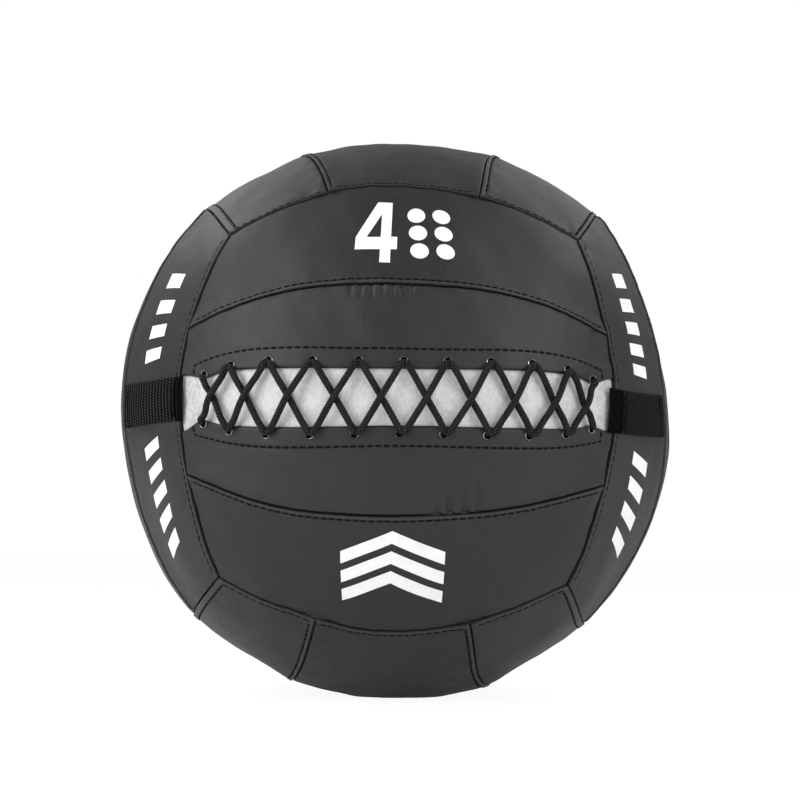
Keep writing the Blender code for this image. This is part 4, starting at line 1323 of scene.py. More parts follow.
# Creases: depth, count of waves, their length and the seed
TONGUE_CREASES = ((0.45 * MM, 16, 19 * MM, 21), (0.16 * MM, 20, 7 * MM, 22))
TONGUE_TUCK = 0.5 * MM
TONGUE_TUCK_LENGTH = 5 * MM
# Where along the closure the painted shade at the tongue's ends starts and where it is full
TONGUE_END_SHADE = (110 * MM, 119 * MM)


def lace_lines():
    """Start and end of each leg of lace over the opening, as places on the closure."""
    lines = []
    for first_row in (-1, 1):
        for number in range(-EYELETS_EACH_SIDE, EYELETS_EACH_SIDE):
            start, end = eyelet_place(float(number)), eyelet_place(number + 1.0)
            lines.append(((start[0], first_row * start[1]), (end[0], -first_row * end[1])))
    return lines


def make_tongue():
    """Soft fabric that bulges a little between the laces and is drawn down where they press."""
    half_length = CLOSURE_HALF_LENGTH - SEAM_ROOM
    along, height = np.meshgrid(
        np.linspace(-half_length, half_length, round(2 * CLOSURE_HALF_LENGTH / TONGUE_CELL)),
        np.linspace(-TONGUE_HALF_HEIGHT, TONGUE_HALF_HEIGHT, round(2 * TONGUE_HALF_HEIGHT / TONGUE_CELL)),
    )
    directions = front_direction(along, height)
    depth = np.full_like(along, TONGUE_DEPTH + TONGUE_ROOM)
    middle = 1 - smooth(np.abs(height), TONGUE_BULGE_HEIGHT, OPENING_HEIGHT / 2 - TONGUE_BULGE_MARGIN)
    for start, end in lace_lines():
        run = np.subtract(end, start)
        share = np.clip(((along - start[0]) * run[0] + (height - start[1]) * run[1]) / (run @ run), 0, 1)
        away = np.hypot(along - start[0] - share * run[0], height - start[1] - share * run[1])
        depth += LACE_PRESS * bell(away, LACE_PRESS_SPREAD) * middle
    for crease, count, length, seed in TONGUE_CREASES:
        depth += crease * (1 + wave_field(count, length, seed)(directions)) * 0.5 * middle
    tuck_start = CLOSURE_HALF_LENGTH - TONGUE_TUCK_LENGTH
    depth += TONGUE_TUCK * smooth(np.abs(along), tuck_start, CLOSURE_HALF_LENGTH)
    outer = at(directions, -depth).reshape(-1, 3)
    inner = at(directions, -depth - TONGUE_THICKNESS).reshape(-1, 3)
    axes = np.concatenate([EYELET_AXES[1], EYELET_AXES[-1]])
    shift, faces = punch(directions.reshape(-1, 3), outer, grid_faces(*along.shape), axes, HOLE_RADIUS)
    (outer, inner), faces = used_only([outer + shift, inner + shift], faces)
    points, faces = closed_shell(outer, inner, faces)
    # end carries the painted shade at the tongue's ends
    looks = {"end": smooth(np.abs(points[:, 0]), *TONGUE_END_SHADE)}
    piece = add_mesh("tongue_fabric", points, faces, TONGUE, "tongue", attributes=looks, node="tongue")


make_tongue()


# The eyelets

EYELET_TOP = 0.72 * MM
EYELET_FLANGE_CUT = 0.15 * MM
EYELET_EDGES = {"bore": 1.95 * MM, "barrel": 2.3 * MM, "flange": 2.9 * MM - EYELET_FLANGE_CUT}
EYELET_LEVELS = {"top": EYELET_TOP, "back": -EYELET_BACK_DEPTH - LAYER_GAP}
EYELET_STEPS = 40
# An eyelet's outline over its rolled flange, down its barrel and round the smaller flange behind. Each point
# is so many millimetres out from an edge and up from a level.
EYELET_OUTLINE = (
    ("bore", 0, "top", -0.25),
    ("bore", 0.12, "top", -0.06),
    ("bore", 0.35, "top", 0),
    ("flange", -0.35, "top", -0.12),
    ("flange", -0.08, "top", -0.38),
    ("flange", 0, "top", -0.65),
    ("flange", -0.12, "top", -0.8),
    ("barrel", 0, "top", -0.78),
    ("barrel", 0, "back", 0),
    ("flange", -0.15, "back", 0),
    ("flange", -0.05, "back", -0.2),
    ("barrel", 0, "back", -0.35),
    ("bore", 0, "back", -0.25),
)


def turned_points(radius, height, steps):
    """Points turned about Z from radii and heights: a ring of the whole profile at each step."""
    angles = turns(steps)[:, None]
    return np.stack([np.cos(angles) * radius, np.sin(angles) * radius, np.tile(height, (steps, 1))], -1)


def make_eyelets():
    profile = [
        (EYELET_EDGES[edge] + out * MM, EYELET_LEVELS[level] + up * MM)
        for edge, out, level, up in EYELET_OUTLINE
    ]
    points = turned_points(*np.array(profile).T, EYELET_STEPS).reshape(-1, 3)
    index = np.arange(len(points)).reshape(EYELET_STEPS, len(profile))
    after, beside = np.roll(index, -1, 0), np.roll(index, -1, 1)
    faces = np.stack([index, after, np.roll(after, -1, 1), beside], -1).reshape(-1, 4)
    for row, word in ((1, "upper"), (-1, "lower")):
        for count, axis in enumerate(EYELET_AXES[row], 1):
            turn = np.array(Vector(settle(axis)).to_track_quat("Z", "Y").to_matrix())
            placed = points @ turn.T + at(axis, np.array(0.0))
            name = f"eyelet_{word}_{count:02d}"
            add_mesh(name + "_plated", placed, faces, PLATED, "eyelet", 60, node=name)


make_eyelets()


# The laces

LACE_RADIUS = 1.9 * MM
LACE_CLEARANCE = 0.3 * MM
LACE_SIDES = 32
LACE_STEP = 0.33 * MM
LACE_LEAST_RADIUS = 0.7 * MM
BRAID_STRANDS = 6
BRAID_PITCH = 2.0 * MM
BRAID_DEPTH = 0.5 * MM
BRAID_MEAN = 0.75
ON_FLAP = LACE_RADIUS + LACE_CLEARANCE

# Where a cord stands at an eyelet of the lower (-1) and upper (1) row: beside the middle of the hole, below
# it, the same for the start of its leg over the flap, and how far both legs are drawn to the right
KNUCKLES = {
    -1: (-0.6 * MM, 0.3 * MM, 1.4 * MM, 1.5 * MM, 1.6 * MM),
    1: (-0.6 * MM, 0.4 * MM, 1.5 * MM, 1.7 * MM, 0.1 * MM),
}
END_LEG_SIDE = 0.6 * MM
END_LEG_POWER = 6
# How a cord comes up through its eyelet: share of the way from the hole to the leg, lift, radius
CORD_RISE = (
    (0, -1.5 * MM, 0.8 * MM),
    (0.15, 0.3 * MM, 1.0 * MM),
    (0.5, 1.5 * MM, 1.5 * MM),
    (0.85, 2.2 * MM, 1.8 * MM),
)
# How it goes on over the flap: distance from the leg's start, lift, radius
CORD_LEAVE = (
    (1.4 * MM, 2.5 * MM, 2.0 * MM),
    (3.6 * MM, ON_FLAP, LACE_RADIUS),
    (7.5 * MM, ON_FLAP, LACE_RADIUS),
)
# How much higher the cord that lies over the other stands at an eyelet, and how much lower that other one
STACKED = {True: 0.7 * MM, False: -0.25 * MM}
STACKED_REACH = 2 * MM
CORD_UNDER = 0.25 * MM
CROSSING_RADIUS = 1.85 * MM
CROSSING_GAP = 0.1 * MM
CROSSING_START = 0.7
CROSSING_CLIMB = 0.6
# Behind the tongue: the eyelet's lip, the depths of the two cords, and shares of the way from hole to hole
# with how far the cord is sunk there
LIP_DEPTH = 0.35 * MM
LIP = EYELET_BACK_DEPTH + LAYER_GAP + LIP_DEPTH
HIDDEN_DEPTHS = {False: 1.9 * MM, True: 5.4 * MM}
HIDDEN_SHARES = ((0.06, 0.6), (0.2, 1), (0.5, 1), (0.8, 1), (0.94, 0.6))
HIDDEN_RADIUS = 1.6 * MM
HIDDEN_END_RADIUS = 1.2 * MM
BORE_RADIUS = 0.8 * MM
# The stopper knot behind the last eyelet: depth beyond the lip and radius
STOPPER_KNOT = (
    (5.5 * MM, 1.2 * MM),
    (4.3 * MM, 2.2 * MM),
    (2.9 * MM, 2.6 * MM),
    (1.5 * MM, 2.2 * MM),
    (0, BORE_RADIUS),
)
ROUTE_STEPS = 24
ROUTE_LEAST_GAP = 0.05 * MM


def knuckle(number, row, hand):
    """Where a cord passes an eyelet, and where its leg to the left (-1) or right (1) starts."""
    along, height = eyelet_place(float(number))
    hole_side, hole_drop, leg_side, leg_drop, drawn = KNUCKLES[row]
    last = (abs(number) / EYELETS_EACH_SIDE) ** END_LEG_POWER
    leg = along + hand * between(leg_side, END_LEG_SIDE, last) + drawn * (1 - last)
    return (along + hand * hole_side, row * (height - hole_drop)), (leg, row * (height - leg_drop))


def rise_stations(hole, leg, stacked):
    """Route of a cord up through an eyelet to the start of its leg."""
    return [
        (*between(np.array(hole), np.array(leg), share), lift + stacked * share, radius)
        for share, lift, radius in CORD_RISE
    ]


def lace_stations(start, end, lifts_over):
    """Route of one leg over the opening, from its knuckle at one eyelet to its knuckle at the next."""
    stacked = STACKED[lifts_over]
    first, last = np.array(start[1]), np.array(end[1])
    length = math.hypot(*(last - first))
    middle = first[1] / (first[1] - last[1])
    crossing = CORD_UNDER + 2 * CROSSING_RADIUS + CROSSING_GAP if lifts_over else CORD_UNDER
    climbing = between(ON_FLAP, crossing, CROSSING_CLIMB)
    leave = [
        (distance / length, lift + stacked * (distance < STACKED_REACH), radius)
        for distance, lift, radius in CORD_LEAVE
    ]
    stations = [
        *leave,
        (middle * CROSSING_START, climbing, LACE_RADIUS),
        (middle, crossing, CROSSING_RADIUS),
        (1 - (1 - middle) * CROSSING_START, climbing, LACE_RADIUS),
        *((1 - share, lift, radius) for share, lift, radius in reversed(leave)),
    ]
    over = [(*between(first, last, share), lift, radius) for share, lift, radius in stations]
    return rise_stations(*start, stacked) + over + rise_stations(*end, stacked)[::-1]


def hidden_stations(start, end, deeper):
    """Route of a leg behind the tongue, from one hole to the next."""
    rows = [(*start, -LIP, BORE_RADIUS)]
    for share, sink in HIDDEN_SHARES:
        place = between(np.array(start), np.array(end), share)
        radius = HIDDEN_END_RADIUS if sink < 1 else HIDDEN_RADIUS
        rows.append((*place, -between(LIP, LIP + HIDDEN_DEPTHS[deeper], sink), radius))
    return [*rows, (*end, -LIP, BORE_RADIUS)]


def lace_end(hole):
    return [(*hole, -LIP - depth, radius) for depth, radius in STOPPER_KNOT]


def lace_route(first_row, lifts_over):
    """A cord that crosses the opening from eyelet to eyelet and has a knot at both ends."""
    rows = lace_end(knuckle(-EYELETS_EACH_SIDE, first_row, 1)[0])
    for number in range(-EYELETS_EACH_SIDE, EYELETS_EACH_SIDE):
        start, end = knuckle(number, first_row, 1), knuckle(number + 1, -first_row, -1)
        rows += lace_stations(start, end, lifts_over)
        if number + 1 < EYELETS_EACH_SIDE:
            rows += hidden_stations(end[0], knuckle(number + 1, first_row, 1)[0], not lifts_over)
    return rows + lace_end(end[0])[::-1]


def smooth_route(rows):
    """Places and radii at even steps of a rounded curve through route rows, and the way travelled to each."""
    along, height, lift, radius = np.array(rows).T
    points = at(front_direction(along, height), lift)
    values = np.column_stack([points, radius])
    gaps = np.sqrt(np.maximum(np.linalg.norm(np.diff(points, axis=0), axis=1), ROUTE_LEAST_GAP))
    knots = np.concatenate([[0], np.cumsum(gaps)])
    slopes = np.gradient(values, knots, axis=0)
    share = np.linspace(0, 1, ROUTE_STEPS, endpoint=False)[:, None]
    dense = []
    for index, span in enumerate(np.diff(knots)):
        dense.append(
            (2 * share**3 - 3 * share**2 + 1) * values[index]
            + (share**3 - 2 * share**2 + share) * slopes[index] * span
            + (3 * share**2 - 2 * share**3) * values[index + 1]
            + (share**3 - share**2) * slopes[index + 1] * span
        )
    dense = np.concatenate(dense + [values[-1:]])
    travelled = np.concatenate([[0], np.cumsum(np.linalg.norm(np.diff(dense[:, :3], axis=0), axis=1))])
    even = np.linspace(0, travelled[-1], round(travelled[-1] / LACE_STEP))
    return np.stack([np.interp(even, travelled, dense[:, k]) for k in range(4)], -1), even


def carried_sides(runs):
    """Directions beside a route that turn with it and don't twist about it."""
    beside = np.zeros_like(runs)
    current = np.cross(runs[0], (0, 0, 1.0))
    for index, run in enumerate(runs):
        current = current - (current @ run) * run
        current /= np.linalg.norm(current)
        beside[index] = current
    return beside


def make_lace(name, first_row, lifts_over):
    """A cord along its route, with the bumps of its braid in the mesh. Gives its length."""
    path, travelled = smooth_route(lace_route(first_row, lifts_over))
    centres, radius = path[:, :3], np.maximum(path[:, 3], LACE_LEAST_RADIUS)
    runs = unit(np.gradient(centres, axis=0))
    beside = carried_sides(runs)
    angles = turns(LACE_SIDES)
    around = angles[None, :] / (2 * math.pi) * BRAID_STRANDS
    forward = travelled[:, None] / BRAID_PITCH
    first, second = around + forward, around - forward
    on_top = (np.floor(first) + np.floor(second)) % 2 == 0
    strand = np.abs(np.sin(math.pi * np.where(on_top, first, second)))
    tube = radius[:, None] + BRAID_DEPTH * (strand - BRAID_MEAN) * (radius[:, None] / LACE_RADIUS)
    points = centres[:, None] + ring_offsets(angles, beside, np.cross(runs, beside)) * tube[..., None]
    index = np.arange(strand.size).reshape(strand.shape)
    faces = [*ring_walls(index).tolist(), index[0, ::-1].tolist(), index[-1].tolist()]
    looks = {"strand": strand}
    add_mesh(name + "_braid", points.reshape(-1, 3), faces, BRAID, "lace", 70, attributes=looks, node=name)
    return travelled[-1]


lace_lengths = {
    "lace_rising": make_lace("lace_rising", -1, True),
    "lace_falling": make_lace("lace_falling", 1, False),
}
print("lace lengths", {name: round(length, 4) for name, length in lace_lengths.items()})


# The side tabs

# Each tab from its seam outwards: its hand, where it starts, where its ribs start, where it ends, how far its
# middle is above the ball's middle line at its start and end, its half width at its start and end, and its
# ribs' pitch
TABS = {
    "left": (-1, 135.8 * MM, 138.5 * MM, 207.0 * MM, (1.4 * MM, 4.2 * MM), (14.6 * MM, 13.6 * MM), 3.5 * MM),
    "right": (1, 131.5 * MM, 143.6 * MM, 203.5 * MM, (-2.4 * MM, -2.2 * MM), (14 * MM, 13 * MM), 2.1 * MM),
}
TAB_CELL = 0.3 * MM
TAB_ROWS = 76
TAB_BASE = 0.7 * MM
TAB_BACK = 0.35 * MM
TAB_LEAST_THICKNESS = 0.5 * MM
TAB_ARCH = 0.9 * MM
TAB_WAVE = 0.2 * MM
TAB_FRAY = 0.12 * MM
TAB_FRAY_POWER = 6
TAB_EDGE_ROUND = 0.5 * MM
TAB_EDGE_WIDTH = 0.8 * MM
TAB_START_SINK = 0.9 * MM
TAB_SINK_START = 3 * MM
TAB_SINK_END = 1 * MM
RIB_DEPTH = 0.6 * MM
RIB_START = 0.5 * MM
DOT_PITCH = 1.9 * MM
DOT_SHARE = 0.55
TAB_START_STITCHES = (2.2 * MM, 5.2 * MM)
TAB_END_STITCHES = 7.5 * MM
TAB_STITCH_SINK = 0.45 * MM
TAB_STITCH_WIDTH = 0.8 * MM
TAB_STITCH_PITCH = 2.6 * MM
TAB_STITCH_LENGTH = 1.8 * MM
TAB_STITCH_MARGIN = 1.2 * MM
TAB_STITCH_ARCH_SHARE = 0.3
TAB_LINE_STEPS = 60


def make_tab(word):
    """Woven webbing with ribs across it, sewn down at both ends. Its inner end is turned under and smooth."""
    hand, start, ribs_start, end, middles, halves, pitch = TABS[word]
    columns = round((end - start) / TAB_CELL)
    share, side = np.meshgrid(np.linspace(0, 1, columns), np.linspace(-1, 1, TAB_ROWS))
    along = between(start, end, share)
    frayed = TAB_FRAY * np.cos(2 * math.pi * along / pitch) * np.abs(side) ** TAB_FRAY_POWER
    height = between(*middles, share) + side * (between(*halves, share) + frayed)
    ribbed = smooth(along, ribs_start - RIB_START, ribs_start + RIB_START)
    rib = np.abs(np.sin(math.pi * along / pitch))
    dots = np.abs(np.sin(math.pi * (height / DOT_PITCH + 0.5 * np.floor(along / pitch))))
    weave = rib * (1 - DOT_SHARE + DOT_SHARE * dots) * ribbed
    stitch_lines = [*(ribs_start + inset for inset in TAB_START_STITCHES), end - TAB_END_STITCHES]
    sewn = sum(bell(along - line, TAB_STITCH_WIDTH) for line in stitch_lines)
    edge = 1 - smooth((1 - np.abs(side)) * halves[0], 0, TAB_EDGE_WIDTH)
    arch = TAB_ARCH * np.sin(math.pi * share) * ribbed + TAB_WAVE * np.sin(2 * side + 3 * share)
    sunk = TAB_START_SINK * (1 - smooth(along, start + TAB_SINK_START, ribs_start + TAB_SINK_END))
    lift = TAB_BASE + TAB_THICKNESS + arch + RIB_DEPTH * (weave - 0.5)
    lift = lift - TAB_EDGE_ROUND * edge - TAB_STITCH_SINK * sewn - sunk
    directions = front_direction(hand * along, height)
    outer = at(directions, lift).reshape(-1, 3)
    inner = at(directions, np.minimum(TAB_BACK + arch, lift - TAB_LEAST_THICKNESS)).reshape(-1, 3)
    points, faces = closed_shell(outer, inner, grid_faces(*along.shape))
    name = f"side_tab_{word}"
    # rib carries the weave's painted shade and painted highlight
    looks = {"rib": np.tile(weave.ravel(), 2)}
    piece = add_mesh(name + "_webbing", points, faces, WEBBING, "webbing", attributes=looks, node=name)
    top = TAB_BASE + TAB_THICKNESS + arch.max() * TAB_STITCH_ARCH_SHARE

    def surface(places, heights):
        return at(places, top + heights)

    rise = np.linspace(-1, 1, TAB_LINE_STEPS) * (halves[1] - TAB_STITCH_MARGIN) + middles[0]
    lines = [front_direction(np.full(TAB_LINE_STEPS, hand * line), rise) for line in stitch_lines]
    runs = [stitches_along(line, surface, TAB_STITCH_PITCH, TAB_STITCH_LENGTH) for line in lines]
    join_threads(name + "_stitches", runs)


for word in TABS:
    make_tab(word)


# White marks, printed as thin films

FILM_HEIGHT = 0.16 * MM
FILM_THICKNESS = 0.1 * MM
FILM_CELL = 3.5 * MM
FILM_SPLITS = 6
FILM_MERGE = 0.01 * MM
FIGURE_WIDTH = 24.5 * MM
FIGURE_HEIGHT = 44 * MM
DOT_RADIUS = 5.4 * MM
DOT_COLUMN = 7.6 * MM
DOT_ROW = 13 * MM
DISC_STEPS = 40
CHEVRON_WIDTH = 60 * MM
CHEVRON_RISE = 14 * MM
CHEVRON_THICKNESS = 7.5 * MM
CHEVRON_PITCH = 12 * MM
BAR_WIDTH = 19 * MM
BAR_HEIGHT = 9.5 * MM
BAR_LEAN = {"left": 2.5 * MM, "right": -2.5 * MM}
BAR_MIDDLE = math.radians(-33.2)
# How far up each side strip its bars are, in degrees
BAR_RISES = {
    "left": (30.7, 24.9, 19.2, 13.4, -10.6, -16.3, -22.0, -27.6, -33.0),
    "right": (32.4, 26.9, 21.4, 15.9, 10.4, -12.6, -18.4, -24.2, -30.0),
}
# A plain 4 in convex pieces that share their edges, in shares of its width and height
FOUR_SHARES = (
    ((0, 0.42), (0.26, 0.42), (0.6, 0.8), (0.6, 1), (0.48, 1)),
    ((0, 0.22), (0.6, 0.22), (0.6, 0.42), (0.26, 0.42), (0, 0.42)),
    (
        (0.6, 0), (0.85, 0), (0.85, 0.22), (0.85, 0.42), (0.85, 1),
        (0.6, 1), (0.6, 0.8), (0.6, 0.42), (0.6, 0.22),
    ),
    ((0.85, 0.22), (1, 0.22), (1, 0.42), (0.85, 0.42)),
)


def flat_mesh(outlines):
    """A fine flat mesh of triangles from outlines in metres. Gives its points and faces."""
    mesh = bpy.data.meshes.new("mark_outline")
    points, faces = [], []
    for outline in outlines:
        faces.append(list(range(len(points), len(points) + len(outline))))
        points += [(x, y, 0) for x, y in outline]
    mesh.from_pydata(points, [], faces)
    bm = bmesh.new()
    bm.from_mesh(mesh)
    bmesh.ops.triangulate(bm, faces=bm.faces[:])
    for _ in range(FILM_SPLITS):
        long_edges = [edge for edge in bm.edges if edge.calc_length() > FILM_CELL]
        if not long_edges:
            break
        bmesh.ops.subdivide_edges(bm, edges=long_edges, cuts=1)
        bmesh.ops.triangulate(bm, faces=bm.faces[:])
    bmesh.ops.remove_doubles(bm, verts=bm.verts[:], dist=FILM_MERGE)
    bm.verts.index_update()
    flat = np.array([vert.co[:2] for vert in bm.verts])
    faces = np.array([[vert.index for vert in face.verts] for face in bm.faces])
    bm.free()
    return flat, faces


def print_mark(name, outlines, place, strip):
    """A thin film over the skin. place turns flat points into directions."""
    flat, faces = flat_mesh(outlines)
    directions = place(flat)
    outer = strip.over_points(directions, FILM_HEIGHT)
    inner = strip.over_points(directions, FILM_HEIGHT - FILM_THICKNESS)
    add_mesh(name, *closed_shell(outer, inner, faces), PRINT, "print", 40)


def tangent_place(azimuth, rise, turn=0):
    """Lays flat points on the ball round a middle, turned by an angle."""
    middle = polar_direction(azimuth, rise)
    right, up = level_axes(middle)
    cosine, sine = math.cos(turn), math.sin(turn)
    first, second = cosine * right + sine * up, cosine * up - sine * right
    return lambda flat: unit(middle + (flat[:, :1] * first + flat[:, 1:] * second) / BALL_RADIUS)


def strip_place(strip, across_angle, along_angle):
    """Lays flat points on a strip: the first number is across it and the second along it."""
    return lambda flat: strip.directions(*np.tan((across_angle, along_angle) + flat / BALL_RADIUS).T)


def disc(x, y):
    """A round dot."""
    angles = turns(DISC_STEPS)
    return [(x + DOT_RADIUS * math.cos(angle), y + DOT_RADIUS * math.sin(angle)) for angle in angles]


def bar(slant):
    """A bar whose ends lean by the slant."""
    side, top = BAR_WIDTH / 2, BAR_HEIGHT / 2
    return [(-side, -top - slant), (side, -top + slant), (side, top + slant), (-side, top - slant)]


def chevron(middle):
    """The two arms of a chevron that points up, as convex outlines that share their middle edge."""
    half, low, high = CHEVRON_WIDTH / 2, middle - CHEVRON_RISE / 2, middle + CHEVRON_RISE / 2
    a, b, c = (-half, low), (0, high), (half, low)
    f, e, d = ((x, y + CHEVRON_THICKNESS) for x, y in (a, b, c))
    return [[a, b, e, f], [b, c, d, e]]


def make_marks():
    upper, lower = strips["front_upper_strip"], strips["front_lower_strip"]
    four = [
        [(FIGURE_WIDTH * (x - 0.5), FIGURE_HEIGHT * (y - 0.5)) for x, y in piece]
        for piece in FOUR_SHARES
    ]
    print_mark("number_mark", four, tangent_place(-6.2, 33.1, math.radians(2)), upper)
    dots = [disc(x, y) for x in (-DOT_COLUMN, DOT_COLUMN) for y in (-DOT_ROW, 0, DOT_ROW)]
    print_mark("dot_mark", dots, tangent_place(6.2, 33.1), upper)
    arms = [arm for middle in (-CHEVRON_PITCH, 0, CHEVRON_PITCH) for arm in chevron(middle)]
    print_mark("chevron_mark", arms, tangent_place(0.2, -32.6), lower)
    for hand, word in ((-1, "left"), (1, "right")):
        strip = strips[f"{word}_front_strip"]
        for count, rise in enumerate(BAR_RISES[word], 1):
            place = strip_place(strip, BAR_MIDDLE, hand * math.radians(rise))
            print_mark(f"{word}_bar_{count}", [bar(BAR_LEAN[word])], place, strip)


make_marks()


# Padding and liner

PADDING_ROOM = 1 * MM
PADDING_DEPTH = SKIN_THICKNESS + LAYER_GAP + PADDING_ROOM
PADDING_THICKNESS = 8.2 * MM
WINDOW_MARGIN = 2.8 * MM
LINER_DEPTH = PADDING_DEPTH + PADDING_THICKNESS + LAYER_GAP
LINER_THICKNESS = 0.8 * MM
LINER_MOUTH_RADIUS = 30 * MM
FILLING_DEPTH = LINER_DEPTH + LINER_THICKNESS + LAYER_GAP
SHELL_CELLS = 56
FOAM_DENT = 0.12 * MM
FOAM_DENT_LENGTH = 18 * MM
CLOTH_DENT = 0.14 * MM
CLOTH_DENT_LENGTH = 14 * MM


def sphere_faces(cells):
    """Directions and faces of a ball cut like a cube, with cells along each side of its six faces."""
    tangent = np.tan(np.linspace(-QUARTER, QUARTER, cells + 1))
    x, y = np.meshgrid(tangent, tangent, indexing="ij")
    spots, faces = [], []
    for axes in SIDES.values():
        out, across, along = (np.array(axis, float) for axis in axes)
        faces.append(grid_faces(cells + 1, cells + 1) + len(spots) * (cells + 1) ** 2)
        spots.append(unit(out + x[..., None] * across + y[..., None] * along).reshape(-1, 3))
    spots, faces = np.concatenate(spots), np.concatenate(faces)
    _, first, numbers = np.unique(np.round(spots, 6), axis=0, return_index=True, return_inverse=True)
    faces = numbers.ravel()[faces]
    spots = spots[first]
    a, b, c = (spots[faces[:, k]] for k in range(3))
    flipped = (np.cross(b - a, c - a) * a).sum(1) < 0
    faces[flipped] = faces[flipped][:, ::-1]
    return spots, faces


def hollow_ball(depth, thickness, keep, dent, waves):
    """Points and faces of a shell under the skin. keep says which directions it covers, and waves dent it."""
    directions, faces = sphere_faces(SHELL_CELLS)
    faces = faces[keep(unit(directions[faces].mean(1)))]
    (directions,), faces = used_only([directions], faces)
    depths = depth + dent * (1 + waves(directions))
    return closed_shell(at(directions, -depths), at(directions, -depths - thickness), faces)


def outside_window(directions):
    """Beyond the window in the padding behind the closure."""
    across = BALL_RADIUS * math.sin(QUARTER) + WINDOW_MARGIN
    places = directions * (BALL_RADIUS - PADDING_DEPTH)
    inside = (np.abs(places[:, 0]) < across) & (np.abs(places[:, 2]) < TONGUE_HALF_HEIGHT + WINDOW_MARGIN)
    return ~(inside & (places[:, 1] < 0))


def outside_mouth(directions):
    """Beyond the liner bag's mouth."""
    places = directions * (BALL_RADIUS - LINER_DEPTH)
    return ~((np.hypot(places[:, 0], places[:, 2]) < LINER_MOUTH_RADIUS) & (places[:, 1] < 0))


foam_waves = wave_field(20, FOAM_DENT_LENGTH, 31)
foam = hollow_ball(PADDING_DEPTH, PADDING_THICKNESS, outside_window, FOAM_DENT, foam_waves)
add_mesh("padding_foam", *foam, FOAM, "foam", node="padding", fill=0.8)
cloth_waves = wave_field(24, CLOTH_DENT_LENGTH, 32)
cloth = hollow_ball(LINER_DEPTH, LINER_THICKNESS, outside_mouth, CLOTH_DENT, cloth_waves)
add_mesh("liner_bag_cloth", *cloth, COTTON, "liner", node="liner_bag")


# Ballast and filling

BALLAST_RADIUS = 52 * MM
BALLAST_HALF_HEIGHT = 40 * MM
BALLAST_NECK_RADIUS = 9 * MM
BALLAST_NECK_HEIGHT = 16 * MM
BALLAST_BAG_THICKNESS = 1.5 * MM
BALLAST_RINGS = 28
BALLAST_STEPS = 88
SAND_ROOM = 2.4 * MM
SAND_LUMP_SHARE = 0.008
PLEATS = 11
PLEAT_SHARE = 0.1
PLEAT_START = 26 * MM
PLEAT_END = BALLAST_HALF_HEIGHT + 6 * MM
SAG_SHARE = 0.02
NECK_SHARES = (0, 0.2, 0.4, 0.6, 0.8)
FILLING_ROOM = 0.6 * MM
FILLING_RADIUS = BALL_RADIUS - FILLING_DEPTH - FILLING_ROOM
FILLING_RISE = 0.2 * MM
FILLING_FLAT = 0.3 * MM
FILLING_LEAST = 0.25 * MM
FILLING_RINGS = 30
FILLING_STEPS = 96
POUCH_ROOM = 1.2 * MM
POUCH_ROOM_START = 0.5 * MM
LUMP = 0.9 * MM
LUMP_LENGTH = 26 * MM
LUMP_START = 20 * MM
LUMP_END = 1 * MM
NOT_ZERO = 1e-6
LEAST = 1e-9
lump_waves = wave_field(24, LUMP_LENGTH, 33)


def pouch_profile(grow, neck):
    """Radius and height down the side of the ballast pouch, from its neck to its lowest point."""
    radius, half_height = BALLAST_RADIUS + grow, BALLAST_HALF_HEIGHT + grow
    start = math.asin((BALLAST_NECK_RADIUS + grow) / radius)
    rows = []
    if neck:
        top = BALLAST_HALF_HEIGHT + BALLAST_NECK_HEIGHT
        foot = half_height * math.cos(start)
        rows = [(BALLAST_NECK_RADIUS + grow, between(top, foot, share)) for share in NECK_SHARES]
    for ring in range(BALLAST_RINGS + 1):
        angle = between(start, math.pi, ring / BALLAST_RINGS)
        rows.append((max(radius * math.sin(angle), 0), half_height * math.cos(angle)))
    return rows


def turned_solid(rows, steps, shape):
    """A solid turned about Z from a profile that starts and ends on the axis. shape moves its points."""
    radius, height = np.array(rows[1:-1]).T
    points = turned_points(radius, height, steps).swapaxes(0, 1).reshape(-1, 3)
    points = np.concatenate([points, [(0, 0, rows[0][1]), (0, 0, rows[-1][1])]])
    index = np.arange(len(radius) * steps).reshape(len(radius), steps)
    following = np.roll(index, -1, 1)
    first, last = len(points) - 2, len(points) - 1
    top = [[first, a, b] for a, b in zip(index[0], following[0])]
    foot = [[last, b, a] for a, b in zip(index[-1], following[-1])]
    return CENTRE + shape(points), [*ring_walls(index)[:, [0, 3, 2, 1]].tolist(), *top, *foot]


def gathered(points):
    """Draws the pouch's neck into pleats and lets its body sag."""
    angle = np.arctan2(points[:, 1], points[:, 0])
    near_neck = smooth(points[:, 2], PLEAT_START, PLEAT_END)
    pleats = 1 + near_neck * PLEAT_SHARE * (np.cos(PLEATS * angle) - 1) / 2
    sag = 1 - SAG_SHARE * (1 + np.cos(3 * angle + 1)) * (1 - near_neck)
    result = points.copy()
    result[:, :2] *= (pleats * sag)[:, None]
    return result


def settled(points):
    """Gives the sand's surface its lumps."""
    return points * (1 - SAND_LUMP_SHARE * (1 + lump_waves(unit(points + NOT_ZERO))))[:, None]


def make_ballast():
    outer = pouch_profile(0, True)
    inner = pouch_profile(-BALLAST_BAG_THICKNESS, True)
    bag = [(0, inner[-1][1]), *reversed(inner[:-1]), *outer[:-1], (0, outer[-1][1])]
    bag = turned_solid(bag, BALLAST_STEPS, gathered)
    add_mesh("ballast_bag_cloth", *bag, CANVAS, "canvas", node="ballast_bag", fill=0.7)
    sand = pouch_profile(-BALLAST_BAG_THICKNESS - SAND_ROOM, False)
    sand = turned_solid([(0, sand[0][1]), *sand[:-1], (0, sand[-1][1])], BALLAST_STEPS, settled)
    add_mesh("ballast_sand_fill", *sand, SAND, "sand", node="ballast_sand")


